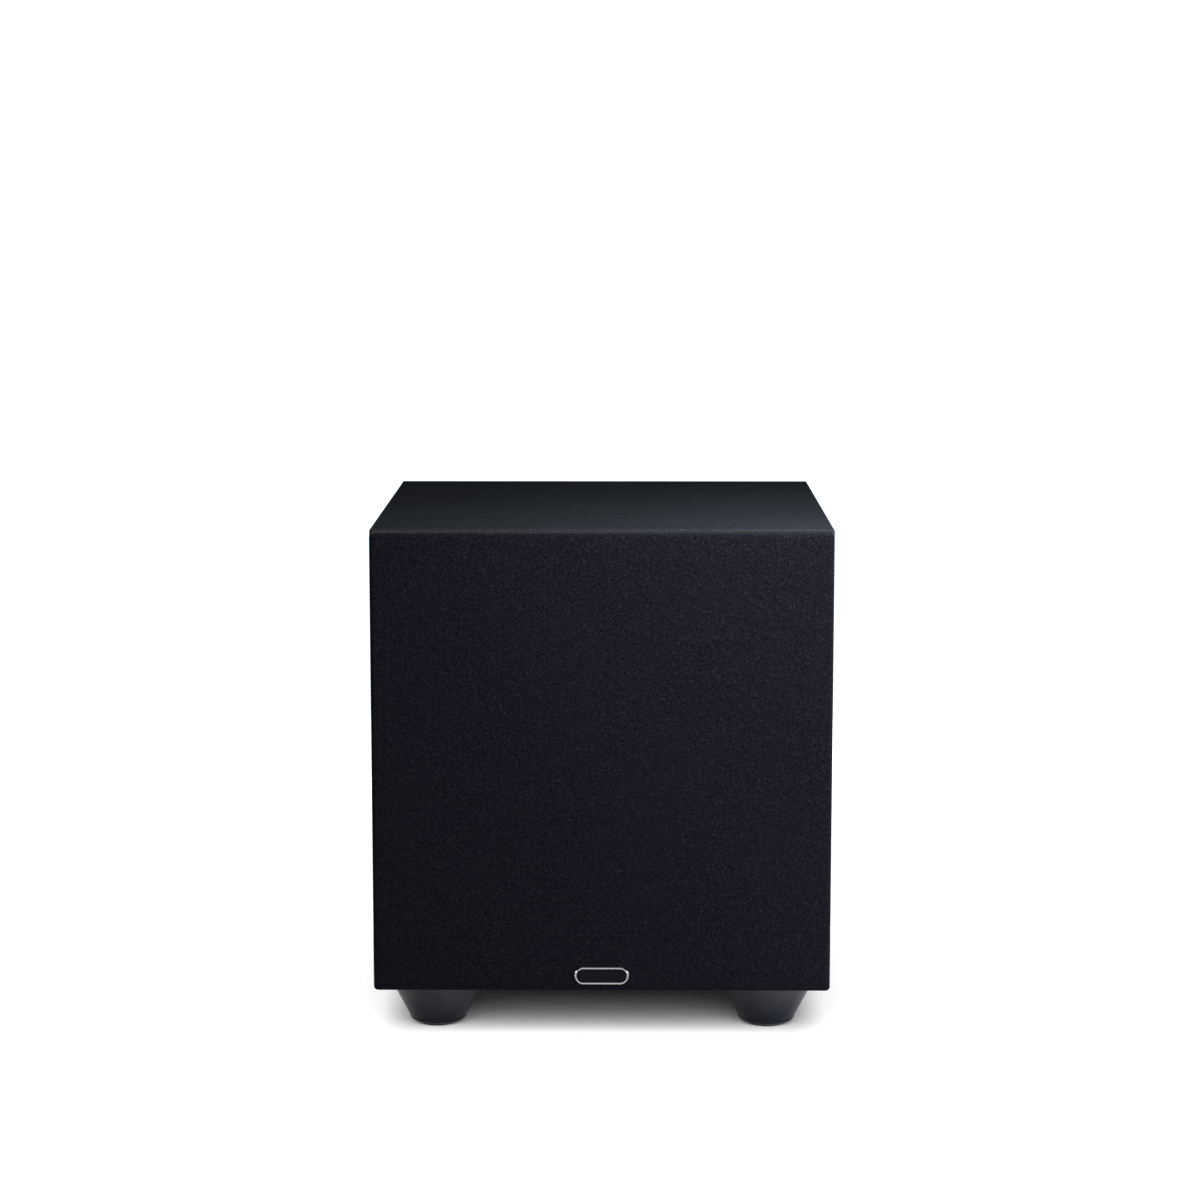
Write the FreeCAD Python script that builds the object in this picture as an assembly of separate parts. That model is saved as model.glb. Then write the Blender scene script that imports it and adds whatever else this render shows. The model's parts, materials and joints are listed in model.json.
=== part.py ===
"""Compact powered subwoofer: a mitred, wrapped wooden cabinet on four round feet, a ten-inch
driver behind a pull-off cloth grille, and an amplifier plate and a vent at the back.

Millimetres. +X is right, +Y is backwards and +Z is up, with the front towards -Y. The origin
is on the floor, under the middle of the object's box. Each sub-part goes to parts/NODE.step.
"""

import FreeCAD, Part  # noqa: E401
import math
import os

V = FreeCAD.Vector
X_AXIS, Y_AXIS, Z_AXIS = V(1, 0, 0), V(0, 1, 0), V(0, 0, 1)

# ---------------------------------------------------------------- driving dimensions
CABINET_W = 338.0
CABINET_H = 341.5
CABINET_D = 336.0
FOOT_H = 38.8
BOARD_T = 15.0
EDGE_R = 1.5              # rounding of the wrapped cabinet's outer edges
BAFFLE_T = 18.0
BAFFLE_RECESS = 8.0       # baffle face behind the front edges of the boards
REAR_RECESS = 2.0         # rear panel face inside the rear edges of the boards

GRILLE_T = 16.0
GRILLE_INSET = 1.0        # grille edge inside the cabinet's outline
GRILLE_GAP = 0.5          # between the grille's back and the boards
CLOTH_T = 1.0
CLOTH_R = 3.2             # rounding of the cloth over the frame's front edges
CLOTH_TURN_IN = 12.0      # how far the cloth folds over the back of the frame
RAIL_W = 20.0
WINDOW_R = 60.0
PEG_INSET = 31.0          # peg centres, from the cabinet's sides
BADGE_W, BADGE_H, BADGE_T = 40.0, 13.0, 1.4
BADGE_UP = 12.0           # badge centre above the grille's lower edge

DRIVER_R = 131.0          # outer radius of the basket's flange
FLANGE_T = 5.0
SEAL_T = 1.2
CUTOUT_R = 118.5
SCREW_CIRCLE_R = 127.1
SCREW_COUNT = 8
STROKE = 10.0             # cone travel each way

KNOB_H = 15.0
KNOB_GAP = 1.0
PLATE_W, PLATE_H, PLATE_T = 240.0, 176.0, 2.5
PLATE_UP = 25.0           # plate's lower edge above the cabinet's underside
PLATE_MARGIN = 12.0       # how far the plate overlaps the rear panel
GASKET_T = 1.5
VENT_DOWN = 77.0          # vent centre below the cabinet's top

# ---------------------------------------------------------------- places that follow
HALF_W = CABINET_W / 2
BOTTOM = FOOT_H
TOP = FOOT_H + CABINET_H
MID_Z = FOOT_H + CABINET_H / 2
IN_W = HALF_W - BOARD_T                       # half the width between the side boards
IN_H = CABINET_H / 2 - BOARD_T                # half the height between top and bottom
PLATE_FACE_OUT = GASKET_T + PLATE_T           # plate face, from the rear panel's face
FRONT_REACH = GRILLE_T + BADGE_T
REAR_REACH = PLATE_FACE_OUT + KNOB_GAP + KNOB_H - REAR_RECESS
FRONT = (FRONT_REACH - REAR_REACH - CABINET_D) / 2   # boards' front edges
REAR = FRONT + CABINET_D
BAFFLE_Y = FRONT + BAFFLE_RECESS              # baffle's face, and the driver's datum
PANEL_Y = REAR - REAR_RECESS                  # rear panel's outer face
PLATE_Y = PANEL_Y + PLATE_FACE_OUT            # amplifier plate's outer face
PLATE_IN_Y = PLATE_Y - PLATE_T
PLATE_MID_Z = BOTTOM + PLATE_UP + PLATE_H / 2
VENT_Z = TOP - VENT_DOWN
GRILLE_Y = FRONT - GRILLE_T                   # cloth's front face
GRILLE_BACK = FRONT - GRILLE_GAP
CABINET_AXIS = V(0, 0, MID_Z)


# ---------------------------------------------------------------- building helpers
def box(x0, x1, y0, y1, z0, z1):
    """A box between two corners."""
    return Part.makeBox(x1 - x0, y1 - y0, z1 - z0, V(x0, y0, z0))


def block(x, z, width, height, y0, y1):
    """A box centred on (x, z), from y0 to y1."""
    return box(x - width / 2, x + width / 2, y0, y1, z - height / 2, z + height / 2)


def rod(x, z, radius, y0, y1):
    """A cylinder along Y."""
    return Part.makeCylinder(radius, y1 - y0, V(x, y0, z), Y_AXIS)


def pipe(x, z, outer, inner, y0, y1):
    """A round tube along Y."""
    return rod(x, z, outer, y0, y1).cut(rod(x, z, inner, y0, y1))


def outline(points, place):
    """A closed wire. A step is a point, or (mid, end) for an arc, each point a pair."""
    edges = []
    here = points[0]
    for step in list(points[1:]) + [points[0]]:
        is_arc = isinstance(step[0], tuple)
        end = step[1] if is_arc else step
        if end == here:
            continue
        if is_arc:
            edges.append(Part.Arc(place(*here), place(*step[0]), place(*end)).toShape())
        else:
            edges.append(Part.LineSegment(place(*here), place(*end)).toShape())
        here = end
    return Part.Wire(edges)


def turned(points, origin, axis=Y_AXIS, angle=360.0, start=0.0):
    """A solid of revolution from (radius, distance along the axis) points."""
    wire = outline(points, lambda r, s: origin + X_AXIS * r + axis * s)
    solid = Part.Face(wire).revolve(origin, axis, angle)
    if start:
        solid.rotate(origin, axis, start)
    return solid


def driver_part(points, angle=360.0, start=0.0):
    """A turned part on the driver's axis, measured back from the baffle's face."""
    return turned(points, V(0, BAFFLE_Y, MID_Z), Y_AXIS, angle, start)


def dome_drop(r, radius, rise):
    """How far the surface of a spherical dome has dropped at r."""
    sphere = (radius**2 + rise**2) / (2 * rise)
    return sphere - math.sqrt(sphere**2 - r**2)


def arc_middle(radius):
    """How far a quarter-round's middle lies in from each of its two sides."""
    return radius * (1 - math.sqrt(0.5))


def slab(points, y0, y1):
    """A plate of the given (x, z) outline, from y0 to y1."""
    wire = outline(points, lambda x, z: V(x, y0, z))
    return Part.Face(wire).extrude(V(0, y1 - y0, 0))


def rounded_outline(x, z, width, height, radius):
    """Points of a rectangle with round corners, for slab()."""
    w, h = width / 2, height / 2
    k = arc_middle(radius)
    points = [(x - w, z - h + radius)]
    points += [(x - w, z + h - radius), ((x - w + k, z + h - k), (x - w + radius, z + h))]
    points += [(x + w - radius, z + h), ((x + w - k, z + h - k), (x + w, z + h - radius))]
    points += [(x + w, z - h + radius), ((x + w - k, z - h + k), (x + w - radius, z - h))]
    points += [(x - w + radius, z - h), ((x - w + k, z - h + k), (x - w, z - h + radius))]
    return points


def rounded_slab(x, z, width, height, radius, y0, y1):
    """A plate with round corners, seen along Y."""
    return slab(rounded_outline(x, z, width, height, radius), y0, y1)


def rounded_box(x0, x1, y0, y1, z0, z1, radius, keep=None):
    """A box with its edges rounded: all of them, or those that keep(edge) picks."""
    solid = box(x0, x1, y0, y1, z0, z1)
    edges = [e for e in solid.Edges if keep is None or keep(e)]
    return solid.makeFillet(radius, edges)


def bevel_face(solid, y, size):
    """The solid with every edge that lies on the plane at y bevelled."""
    return solid.makeChamfer(size, [e for e in solid.Edges if abs(e.CenterOfMass.y - y) < 0.01])


def cut_all(solid, cutters):
    """The solid less each of the cutters."""
    for cutter in cutters:
        solid = solid.cut(cutter)
    return solid


def group(solids):
    """Separate solids that share a node."""
    return Part.makeCompound(solids)


def driver_screw_places():
    """(x, z) of the screws round the driver's flange, with none at the very top."""
    angles = [2 * math.pi * (i + 0.5) / SCREW_COUNT for i in range(SCREW_COUNT)]
    return [(SCREW_CIRCLE_R * math.cos(a), MID_Z + SCREW_CIRCLE_R * math.sin(a)) for a in angles]


def on_plate(across, up):
    """(x, z) on the amplifier plate: across runs to the right as seen from behind."""
    return -across, PLATE_MID_Z + up


# ---------------------------------------------------------------- cabinet
def boards():
    """Four boards, mitred at the corners, under one wrapped skin with rounded edges."""
    skin = rounded_box(-HALF_W, HALF_W, FRONT, REAR, BOTTOM, TOP, EDGE_R)
    made = {}
    for name, turn in (("top_board", 0), ("right_board", 90), ("bottom_board", 180), ("left_board", 270)):
        upright = name in ("left_board", "right_board")
        span, out = (CABINET_H / 2, HALF_W) if upright else (HALF_W, CABINET_H / 2)
        inner_span, inner = span - BOARD_T, out - BOARD_T
        wedge = slab([(-span, out), (span, out), (inner_span, inner), (-inner_span, inner)], FRONT, REAR)
        wedge.rotate(V(0, 0, 0), Y_AXIS, turn)
        wedge.translate(CABINET_AXIS)
        made[name] = skin.common(wedge)
    for x, z in foot_places():
        made["bottom_board"] = made["bottom_board"].cut(screw_hole_up(x, z))
    return made


def four_corners(x, z):
    """The four corners of a rectangle centred on the origin, lower pair first."""
    return [(i * x, k * z) for k in (-1, 1) for i in (-1, 1)]


def peg_places():
    """(x, z) of the four grille pegs."""
    corners = four_corners(HALF_W - PEG_INSET, CABINET_H / 2 - PEG_INSET)
    return [(x, MID_Z + z) for x, z in corners]


SNUG = 0.05               # radial clearance of what is pushed into a hole
M4_R, M4_HEAD_R, M4_HEAD_H = 2.0, 3.6, 2.4
PILOT_R = M4_R + SNUG
SCREW_HOLE_R = M4_R + 0.3
SOCKET_R, SOCKET_DEPTH, SOCKET_LIP_R, SOCKET_LIP_T = 7.0, 15.0, 9.5, 1.5


def front_baffle():
    """The board that carries the driver, with a rebate for its flange and seal."""
    back = BAFFLE_Y + BAFFLE_T
    panel = box(-IN_W, IN_W, BAFFLE_Y, back, MID_Z - IN_H, MID_Z + IN_H)
    rebate = rod(0, MID_Z, DRIVER_R + 0.4, BAFFLE_Y, BAFFLE_Y + FLANGE_T + SEAL_T)
    cutters = [rod(0, MID_Z, CUTOUT_R, BAFFLE_Y, back), rebate]
    cutters += [rod(x, z, PILOT_R, BAFFLE_Y, back) for x, z in driver_screw_places()]
    cutters += [rod(x, z, SOCKET_R + SNUG, BAFFLE_Y, BAFFLE_Y + SOCKET_DEPTH) for x, z in peg_places()]
    return cut_all(panel, cutters)


VENT_HOLE_R = 46.7


def rear_panel():
    """The back board, with openings for the amplifier and the vent."""
    inner = PANEL_Y - BOARD_T
    panel = box(-IN_W, IN_W, inner, PANEL_Y, MID_Z - IN_H, MID_Z + IN_H)
    opening = block(0, PLATE_MID_Z, PLATE_W - 2 * PLATE_MARGIN, PLATE_H - 2 * PLATE_MARGIN, inner, PANEL_Y)
    cutters = [opening, rod(0, VENT_Z, VENT_HOLE_R, inner, PANEL_Y)]
    cutters += [rod(x, z, PILOT_R, inner, PANEL_Y) for x, z in plate_screw_places()]
    return cut_all(panel, cutters)


BRACE_FROM, BRACE_T = 100.0, 12.0       # behind the baffle's face
BRACE_HOLE_R, BRACE_CORNER_R = 72.0, 27.0
BRACE_CORNER = 110.0


def window_brace():
    """A pierced board round the magnet that ties the four walls together."""
    front = BAFFLE_Y + BRACE_FROM
    back = front + BRACE_T
    panel = box(-IN_W, IN_W, front, back, MID_Z - IN_H, MID_Z + IN_H)
    cutters = [rod(0, MID_Z, BRACE_HOLE_R, front, back)]
    for x, z in four_corners(BRACE_CORNER, BRACE_CORNER):
        cutters.append(rod(x, MID_Z + z, BRACE_CORNER_R, front, back))
    return cut_all(panel, cutters)


PAD_T, PAD_GAP, PAD_EDGE_R = 18.0, 4.0, 5.0


def damping_pads():
    """Felt wadding glued inside both side walls, behind the brace."""
    front = BAFFLE_Y + BRACE_FROM + BRACE_T + PAD_GAP
    back = PANEL_Y - BOARD_T - PAD_GAP
    low, high = MID_Z - IN_H + PAD_GAP, MID_Z + IN_H - PAD_GAP
    off_wall = lambda edge: edge.CenterOfMass.x > 1 - IN_W
    left = rounded_box(-IN_W, PAD_T - IN_W, front, back, low, high, PAD_EDGE_R, off_wall)
    return group([left, left.mirror(V(0, 0, 0), X_AXIS)])


# ---------------------------------------------------------------- feet
FOOT_INSET = 44.8                      # foot centres from the cabinet's edges
FOOT_TOP_R, FOOT_LOW_R, FOOT_BASE_R = 38.0, 21.4, 16.6
FOOT_LOW_Z, FOOT_BASE_Z = 5.8, 2.0
FOOT_WELL_R, FOOT_WELL_TOP = 6.2, 26.0
PAD_RING_R, PAD_RING_TOP = 15.6, 3.0
FOOT_SCREW_R, FOOT_SCREW_HEAD_R, FOOT_SCREW_REACH = 2.5, 5.0, 11.0


def foot_places():
    """(x, y) of the four feet, front pair first."""
    x, front, back = HALF_W - FOOT_INSET, FRONT + FOOT_INSET, REAR - FOOT_INSET
    return [(-x, front), (x, front), (-x, back), (x, back)]


def screw_hole_up(x, y):
    """The pilot hole for a foot's screw in the bottom board."""
    return Part.makeCylinder(FOOT_SCREW_R + SNUG, FOOT_SCREW_REACH + 1, V(x, y, BOTTOM), Z_AXIS)


def foot(x, y):
    """A moulded round foot: a cone that narrows down to a rounded base, with a screw well."""
    bulge = (FOOT_LOW_R - 1.2, FOOT_BASE_Z + 1.1)
    points = [(FOOT_SCREW_R + 0.3, FOOT_H), (FOOT_TOP_R, FOOT_H), (FOOT_TOP_R, FOOT_H - 1.0)]
    points += [(FOOT_LOW_R, FOOT_LOW_Z), (bulge, (FOOT_BASE_R, FOOT_BASE_Z)), (PAD_RING_R + 0.1, FOOT_BASE_Z)]
    points += [(PAD_RING_R + 0.1, PAD_RING_TOP), (FOOT_WELL_R, PAD_RING_TOP), (FOOT_WELL_R, FOOT_WELL_TOP)]
    points += [(FOOT_SCREW_R + 0.3, FOOT_WELL_TOP)]
    return turned(points, V(x, y, 0), Z_AXIS)


def foot_pad(x, y):
    """The rubber ring under a foot."""
    edge = 0.8
    points = [(FOOT_WELL_R, 0), (PAD_RING_R - edge, 0), (PAD_RING_R, edge), (PAD_RING_R, PAD_RING_TOP)]
    points += [(FOOT_WELL_R, PAD_RING_TOP)]
    return turned(points, V(x, y, 0), Z_AXIS)


def cross_recess(depth, arm, width):
    """The cross in a screw head's face, cut along -Y from y = 0."""
    upright = box(-width / 2, width / 2, -depth, 0, -arm, arm)
    return upright.fuse(box(-arm, arm, -depth, 0, -width / 2, width / 2))


def pan_screw(head_r, head_h, shank_r, length):
    """A pan-head screw along Y: its head's underside is at y = 0 and the head is towards +Y."""
    edge_h, half = head_h * 0.35, head_r / 2
    crown = (half, head_h - dome_drop(half, head_r, head_h - edge_h))
    points = [(0, -length), (shank_r * 0.4, -length), (shank_r, shank_r - length), (shank_r, 0)]
    points += [(head_r, 0), (head_r, edge_h), (crown, (0, head_h))]
    screw = turned(points, V(0, 0, 0))
    recess = cross_recess(head_h * 0.55, head_r * 0.5, head_r * 0.2)
    recess.translate(V(0, head_h, 0))
    return screw.cut(recess)


def foot_screws():
    """One screw up through each foot into the bottom board."""
    length = FOOT_H - FOOT_WELL_TOP + FOOT_SCREW_REACH
    made = []
    for x, y in foot_places():
        screw = pan_screw(FOOT_SCREW_HEAD_R, 3.2, FOOT_SCREW_R, length)
        screw.rotate(V(0, 0, 0), X_AXIS, -90)
        screw.translate(V(x, y, FOOT_WELL_TOP))
        made.append(screw)
    return group(made)


# ---------------------------------------------------------------- grille
CLOTH_HALF_W = HALF_W - GRILLE_INSET
CLOTH_HALF_H = CABINET_H / 2 - GRILLE_INSET
FRAME_HALF_W = CLOTH_HALF_W - CLOTH_T
FRAME_HALF_H = CLOTH_HALF_H - CLOTH_T
FRAME_FRONT = GRILLE_Y + CLOTH_T
FRAME_BACK = GRILLE_BACK - CLOTH_T
BADGE_Z = BOTTOM + GRILLE_INSET + BADGE_UP
PEG_R, PEG_TIP_R, PEG_BASE_R, PEG_BASE_T = 3.5, 4.0, 7.0, 2.0
PEG_STUB_R, PEG_STUB = 3.0, 8.0
PEG_REACH = 12.0                       # peg tip behind the baffle's face
BADGE_RIM, BADGE_BEVEL, BADGE_FIELD_IN = 1.3, 0.6, 0.6
BADGE_PIN_R, BADGE_PIN_SPREAD, BADGE_PIN = 1.2, 12.0, 7.0


def not_on(back):
    """Picks the edges of a box that don't lie on its back face."""
    return lambda edge: abs(edge.CenterOfMass.y - back) > 0.1


def cloth_core():
    """The frame's outer shape, with no window: what the cloth wraps."""
    low, high = MID_Z - FRAME_HALF_H, MID_Z + FRAME_HALF_H
    edge_r = CLOTH_R - CLOTH_T
    sides = (-FRAME_HALF_W, FRAME_HALF_W, FRAME_FRONT, FRAME_BACK, low, high)
    return rounded_box(*sides, edge_r, not_on(FRAME_BACK))


def badge_holes(y0, y1):
    """Cutters for the badge's two pins."""
    return [rod(i * BADGE_PIN_SPREAD, BADGE_Z, BADGE_PIN_R + SNUG, y0, y1) for i in (-1, 1)]


def grille_frame():
    """A moulded rectangular frame with a large window and rounded corners."""
    window_w, window_h = 2 * (FRAME_HALF_W - RAIL_W), 2 * (FRAME_HALF_H - RAIL_W)
    window = rounded_slab(0, MID_Z, window_w, window_h, WINDOW_R, FRAME_FRONT, FRAME_BACK)
    cutters = [window]
    cutters += [rod(x, z, PEG_STUB_R + SNUG, FRAME_BACK - PEG_STUB, FRAME_BACK) for x, z in peg_places()]
    cutters += badge_holes(FRAME_FRONT, FRAME_FRONT + BADGE_PIN)
    return cut_all(cloth_core(), cutters)


def grille_cloth():
    """Knitted cloth over the frame's front and sides, folded in behind it."""
    low, high = MID_Z - CLOTH_HALF_H, MID_Z + CLOTH_HALF_H
    sides = (-CLOTH_HALF_W, CLOTH_HALF_W, GRILLE_Y, GRILLE_BACK, low, high)
    outer = rounded_box(*sides, CLOTH_R, not_on(GRILLE_BACK))
    open_w, open_h = 2 * (CLOTH_HALF_W - CLOTH_TURN_IN), 2 * (CLOTH_HALF_H - CLOTH_TURN_IN)
    opening = block(0, MID_Z, open_w, open_h, FRAME_BACK - 1, GRILLE_BACK)
    return cut_all(outer, [cloth_core(), opening] + badge_holes(GRILLE_Y, FRAME_FRONT))


def badge():
    """A plain pill-shaped badge: a raised bevelled rim round a flat field, with two pins."""
    front = GRILLE_Y - BADGE_T
    body = rounded_slab(0, BADGE_Z, BADGE_W, BADGE_H, 0.499 * BADGE_H, front, GRILLE_Y)
    body = bevel_face(body, front, BADGE_BEVEL)
    field_w, field_h = BADGE_W - 2 * BADGE_RIM, BADGE_H - 2 * BADGE_RIM
    field = rounded_slab(0, BADGE_Z, field_w, field_h, 0.499 * field_h, front, front + BADGE_FIELD_IN)
    body = body.cut(field)
    for i in (-1, 1):
        body = body.fuse(rod(i * BADGE_PIN_SPREAD, BADGE_Z, BADGE_PIN_R, GRILLE_Y, GRILLE_Y + BADGE_PIN))
    return body


def grille_pegs():
    """Four ball-ended pegs, pressed into the back of the frame."""
    tip = BAFFLE_Y + PEG_REACH
    made = []
    for x, z in peg_places():
        peg = rod(x, z, PEG_STUB_R, FRAME_BACK - PEG_STUB, FRAME_BACK)
        peg = peg.fuse(rod(x, z, PEG_BASE_R, FRAME_BACK, FRAME_BACK + PEG_BASE_T))
        peg = peg.fuse(rod(x, z, PEG_R, FRAME_BACK, tip - PEG_TIP_R))
        peg = peg.fuse(Part.makeSphere(PEG_TIP_R, V(x, tip - PEG_TIP_R, z)))
        made.append(peg)
    return group(made)


def grille_sockets():
    """Rubber sockets in the baffle that grip the pegs."""
    mouth, end = BAFFLE_Y - SOCKET_LIP_T, BAFFLE_Y + SOCKET_DEPTH - 0.5
    made = []
    for x, z in peg_places():
        sleeve = rod(x, z, SOCKET_R, BAFFLE_Y, end).fuse(rod(x, z, SOCKET_LIP_R, mouth, BAFFLE_Y))
        made.append(sleeve.cut(rod(x, z, PEG_TIP_R + 0.1, mouth, end - 1)))
    return group(made)


# ---------------------------------------------------------------- driver
# Places along the axis are behind the baffle's face.
LEDGE_S, LEDGE_OUT_R = 63.5, 83.5      # the spider's ledge
RING_S, RING_T, RING_R = 81.0, 3.0, 77.5   # the basket's rear ring
TOP_PLATE_T, MAGNET_T, YOKE_T = 8.0, 30.0, 8.0
TOP_PLATE_R, YOKE_R = 62.0, 64.0
TOP_PLATE_S = RING_S + RING_T
MAGNET_S = TOP_PLATE_S + TOP_PLATE_T
YOKE_S = MAGNET_S + MAGNET_T
POLE_R, POLE_VENT_R, GAP_R = 24.9, 8.0, 27.7
MAGNET_R, MAGNET_HOLE_R = 68.0, 34.0
FORMER_IN_R, FORMER_R, COIL_R = 25.4, 25.9, 27.2
FORMER_FROM, FORMER_TO = 46.0, 102.0
COIL_FROM, COIL_TO = 75.0, 101.0
CONE_R, CONE_LIP_R, CONE_T = 97.0, 91.0, 1.1
CONE_NECK_S, CONE_NECK_LEN = 44.0, 5.0
CONE_SLOPE = CONE_NECK_S / (CONE_LIP_R - FORMER_R)   # axial rise per radial step
CAP_R, CAP_SEAT, CAP_RISE, CAP_SKIN = 47.0, 3.0, 17.0, 1.0
BASKET_WINDOWS = 6


def flange_screw_holes(y0, y1):
    """Cutters for the screws round the driver's flange."""
    return [rod(x, z, SCREW_HOLE_R, y0, y1) for x, z in driver_screw_places()]


def basket():
    """A cast frame: flange, tapering wall with windows, spider ledge and magnet ring."""
    outside = [(DRIVER_R, 0), (DRIVER_R, FLANGE_T), (118.2, FLANGE_T), (117.8, 14), (LEDGE_OUT_R + 3, 58)]
    outside += [(LEDGE_OUT_R + 3, LEDGE_S + 3), (RING_R, LEDGE_S + 3), (RING_R, TOP_PLATE_S)]
    inside = [(MAGNET_HOLE_R, TOP_PLATE_S), (MAGNET_HOLE_R, RING_S), (RING_R - 3, RING_S)]
    inside += [(RING_R - 3, LEDGE_S), (LEDGE_OUT_R, LEDGE_S), (LEDGE_OUT_R, 57), (114.6, 13.5), (114.6, 0)]
    frame = driver_part(outside + inside)
    spacing = 360.0 / BASKET_WINDOWS
    wall_window = [(80, 21), (125, 21), (125, 54), (80, 54)]
    ring_vent = [(60, 69), (90, 69), (90, 79), (60, 79)]
    for i in range(BASKET_WINDOWS):
        for profile, share in ((wall_window, 0.66), (ring_vent, 0.5)):
            angle = spacing * share
            frame = frame.cut(driver_part(profile, angle, spacing * (i + 0.5) - angle / 2))
    return cut_all(frame, flange_screw_holes(BAFFLE_Y, BAFFLE_Y + FLANGE_T))


def basket_seal():
    """The foam ring between the flange and the baffle's rebate."""
    y0, y1 = BAFFLE_Y + FLANGE_T, BAFFLE_Y + FLANGE_T + SEAL_T
    ring = pipe(0, MID_Z, DRIVER_R, CUTOUT_R + 0.5, y0, y1)
    return cut_all(ring, flange_screw_holes(y0, y1))


ROLL_R, ROLL_MID_R, RUBBER_T = 9.7, 106.0, 1.2
SURROUND_OUT_R, SURROUND_IN_R = 123.0, 90.0


def surround():
    """The rubber half-roll that hangs the cone from the flange."""
    inner = ROLL_R - RUBBER_T
    half = math.sqrt(ROLL_R**2 - RUBBER_T**2)
    points = [(SURROUND_OUT_R, 0), (ROLL_MID_R + inner, 0), ((ROLL_MID_R, -inner), (ROLL_MID_R - inner, 0))]
    points += [(SURROUND_IN_R, 0), (SURROUND_IN_R, -RUBBER_T), (ROLL_MID_R - half, -RUBBER_T)]
    points += [((ROLL_MID_R, -ROLL_R), (ROLL_MID_R + half, -RUBBER_T)), (SURROUND_OUT_R, -RUBBER_T)]
    return driver_part(points)


def cone_face(radius):
    """Where the cone's front face is at a radius, behind the baffle's face."""
    return (CONE_LIP_R - radius) * CONE_SLOPE


def cone():
    """A stiff cone with a flat lip for the surround and a neck for the coil former."""
    back = CONE_T * math.sqrt(1 + CONE_SLOPE**2)
    neck_end = CONE_NECK_S + CONE_NECK_LEN
    neck_r = FORMER_R + CONE_T
    points = [(CONE_R, 0), (CONE_LIP_R, 0), (FORMER_R, CONE_NECK_S), (FORMER_R, neck_end), (neck_r, neck_end)]
    points += [(neck_r, cone_face(neck_r) + back), (CONE_LIP_R, back), (CONE_R, CONE_T)]
    return driver_part(points)


def dust_cap():
    """The domed cap glued over the coil, seated on the cone's face."""
    seat_r = CAP_R - CAP_SEAT
    edge_s, seat_s = cone_face(CAP_R), cone_face(seat_r)
    front, back = edge_s - CAP_RISE, edge_s - CAP_RISE + CAP_SKIN
    outer = (CAP_R / 2, front + dome_drop(CAP_R / 2, CAP_R, CAP_RISE))
    inner = (seat_r / 2, back + dome_drop(seat_r / 2, seat_r, seat_s - back))
    return driver_part([(0, front), (outer, (CAP_R, edge_s)), (seat_r, seat_s), (inner, (0, back))])


def coil_former():
    """The thin tube that carries the winding."""
    return pipe(0, MID_Z, FORMER_R, FORMER_IN_R, BAFFLE_Y + FORMER_FROM, BAFFLE_Y + FORMER_TO)


def coil_winding():
    """The copper winding on the former."""
    return pipe(0, MID_Z, COIL_R, FORMER_R, BAFFLE_Y + COIL_FROM, BAFFLE_Y + COIL_TO)


SPIDER_T, SPIDER_FOOT_R, SPIDER_OUT_R, SPIDER_WAVES, SPIDER_WAVE = 0.8, 74.0, 83.0, 4, 3.0
SPIDER_GLUE = 0.25                     # the glue line round the former


def spider():
    """The corrugated cloth disc that centres the coil."""
    inner = FORMER_R + SPIDER_GLUE
    step = (SPIDER_FOOT_R - inner) / (2 * SPIDER_WAVES)
    base = LEDGE_S - SPIDER_T
    radii = [SPIDER_FOOT_R - step * k for k in range(2 * SPIDER_WAVES + 1)]
    waves = []
    for k in range(2 * SPIDER_WAVES):
        side = SPIDER_WAVE if k % 2 else -SPIDER_WAVE
        waves.append(((radii[k] - step / 2, side), (radii[k + 1], 0.0)))
    front = [((mid[0], mid[1] + base), (end[0], base)) for mid, end in waves]
    back = []
    for k in reversed(range(2 * SPIDER_WAVES)):
        mid = waves[k][0]
        back.append(((mid[0], mid[1] + LEDGE_S), (radii[k], LEDGE_S)))
    points = [(SPIDER_OUT_R, base), (SPIDER_FOOT_R, base)] + front + [(inner, LEDGE_S)] + back
    return driver_part(points + [(SPIDER_OUT_R, LEDGE_S)])


def top_plate():
    """The steel ring at the magnetic gap."""
    return pipe(0, MID_Z, TOP_PLATE_R, GAP_R, BAFFLE_Y + TOP_PLATE_S, BAFFLE_Y + MAGNET_S)


def magnet():
    """The ferrite ring."""
    edge = 1.5
    points = [(MAGNET_HOLE_R, MAGNET_S), (MAGNET_R - edge, MAGNET_S), (MAGNET_R, MAGNET_S + edge)]
    points += [(MAGNET_R, YOKE_S - edge), (MAGNET_R - edge, YOKE_S), (MAGNET_HOLE_R, YOKE_S)]
    return driver_part(points)


def pole_yoke():
    """The back plate and vented pole, in one piece."""
    front, back, edge, vent_edge = TOP_PLATE_S - 4, YOKE_S + YOKE_T, 2.0, 3.0
    points = [(POLE_VENT_R, front), (POLE_R, front), (POLE_R, YOKE_S), (YOKE_R, YOKE_S)]
    points += [(YOKE_R, back - edge), (YOKE_R - edge, back)]
    points += [(POLE_VENT_R + vent_edge, back), (POLE_VENT_R, back - vent_edge)]
    return driver_part(points)


def driver_screws():
    """Eight pan-head screws through the flange."""
    made = []
    for x, z in driver_screw_places():
        screw = pan_screw(M4_HEAD_R, M4_HEAD_H, M4_R, 20.0)
        screw.rotate(V(0, 0, 0), Z_AXIS, 180)
        screw.translate(V(x, BAFFLE_Y, z))
        made.append(screw)
    return group(made)


TERMINAL_S = 74.0
TAB_END = 90.0
TAB_RISE = 6.0


def terminal_strip():
    """A small board on a basket spoke, with two push-on tabs."""
    y, thick = BAFFLE_Y + TERMINAL_S, 3.0
    strip = box(RING_R, RING_R + thick, y - 5, y + 5, MID_Z - 12, MID_Z + 12)
    for side in (-1, 1):
        z = MID_Z + side * TAB_RISE
        strip = strip.fuse(box(RING_R + thick, TAB_END, y - 2.4, y + 2.4, z - 0.4, z + 0.4))
    return strip


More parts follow.
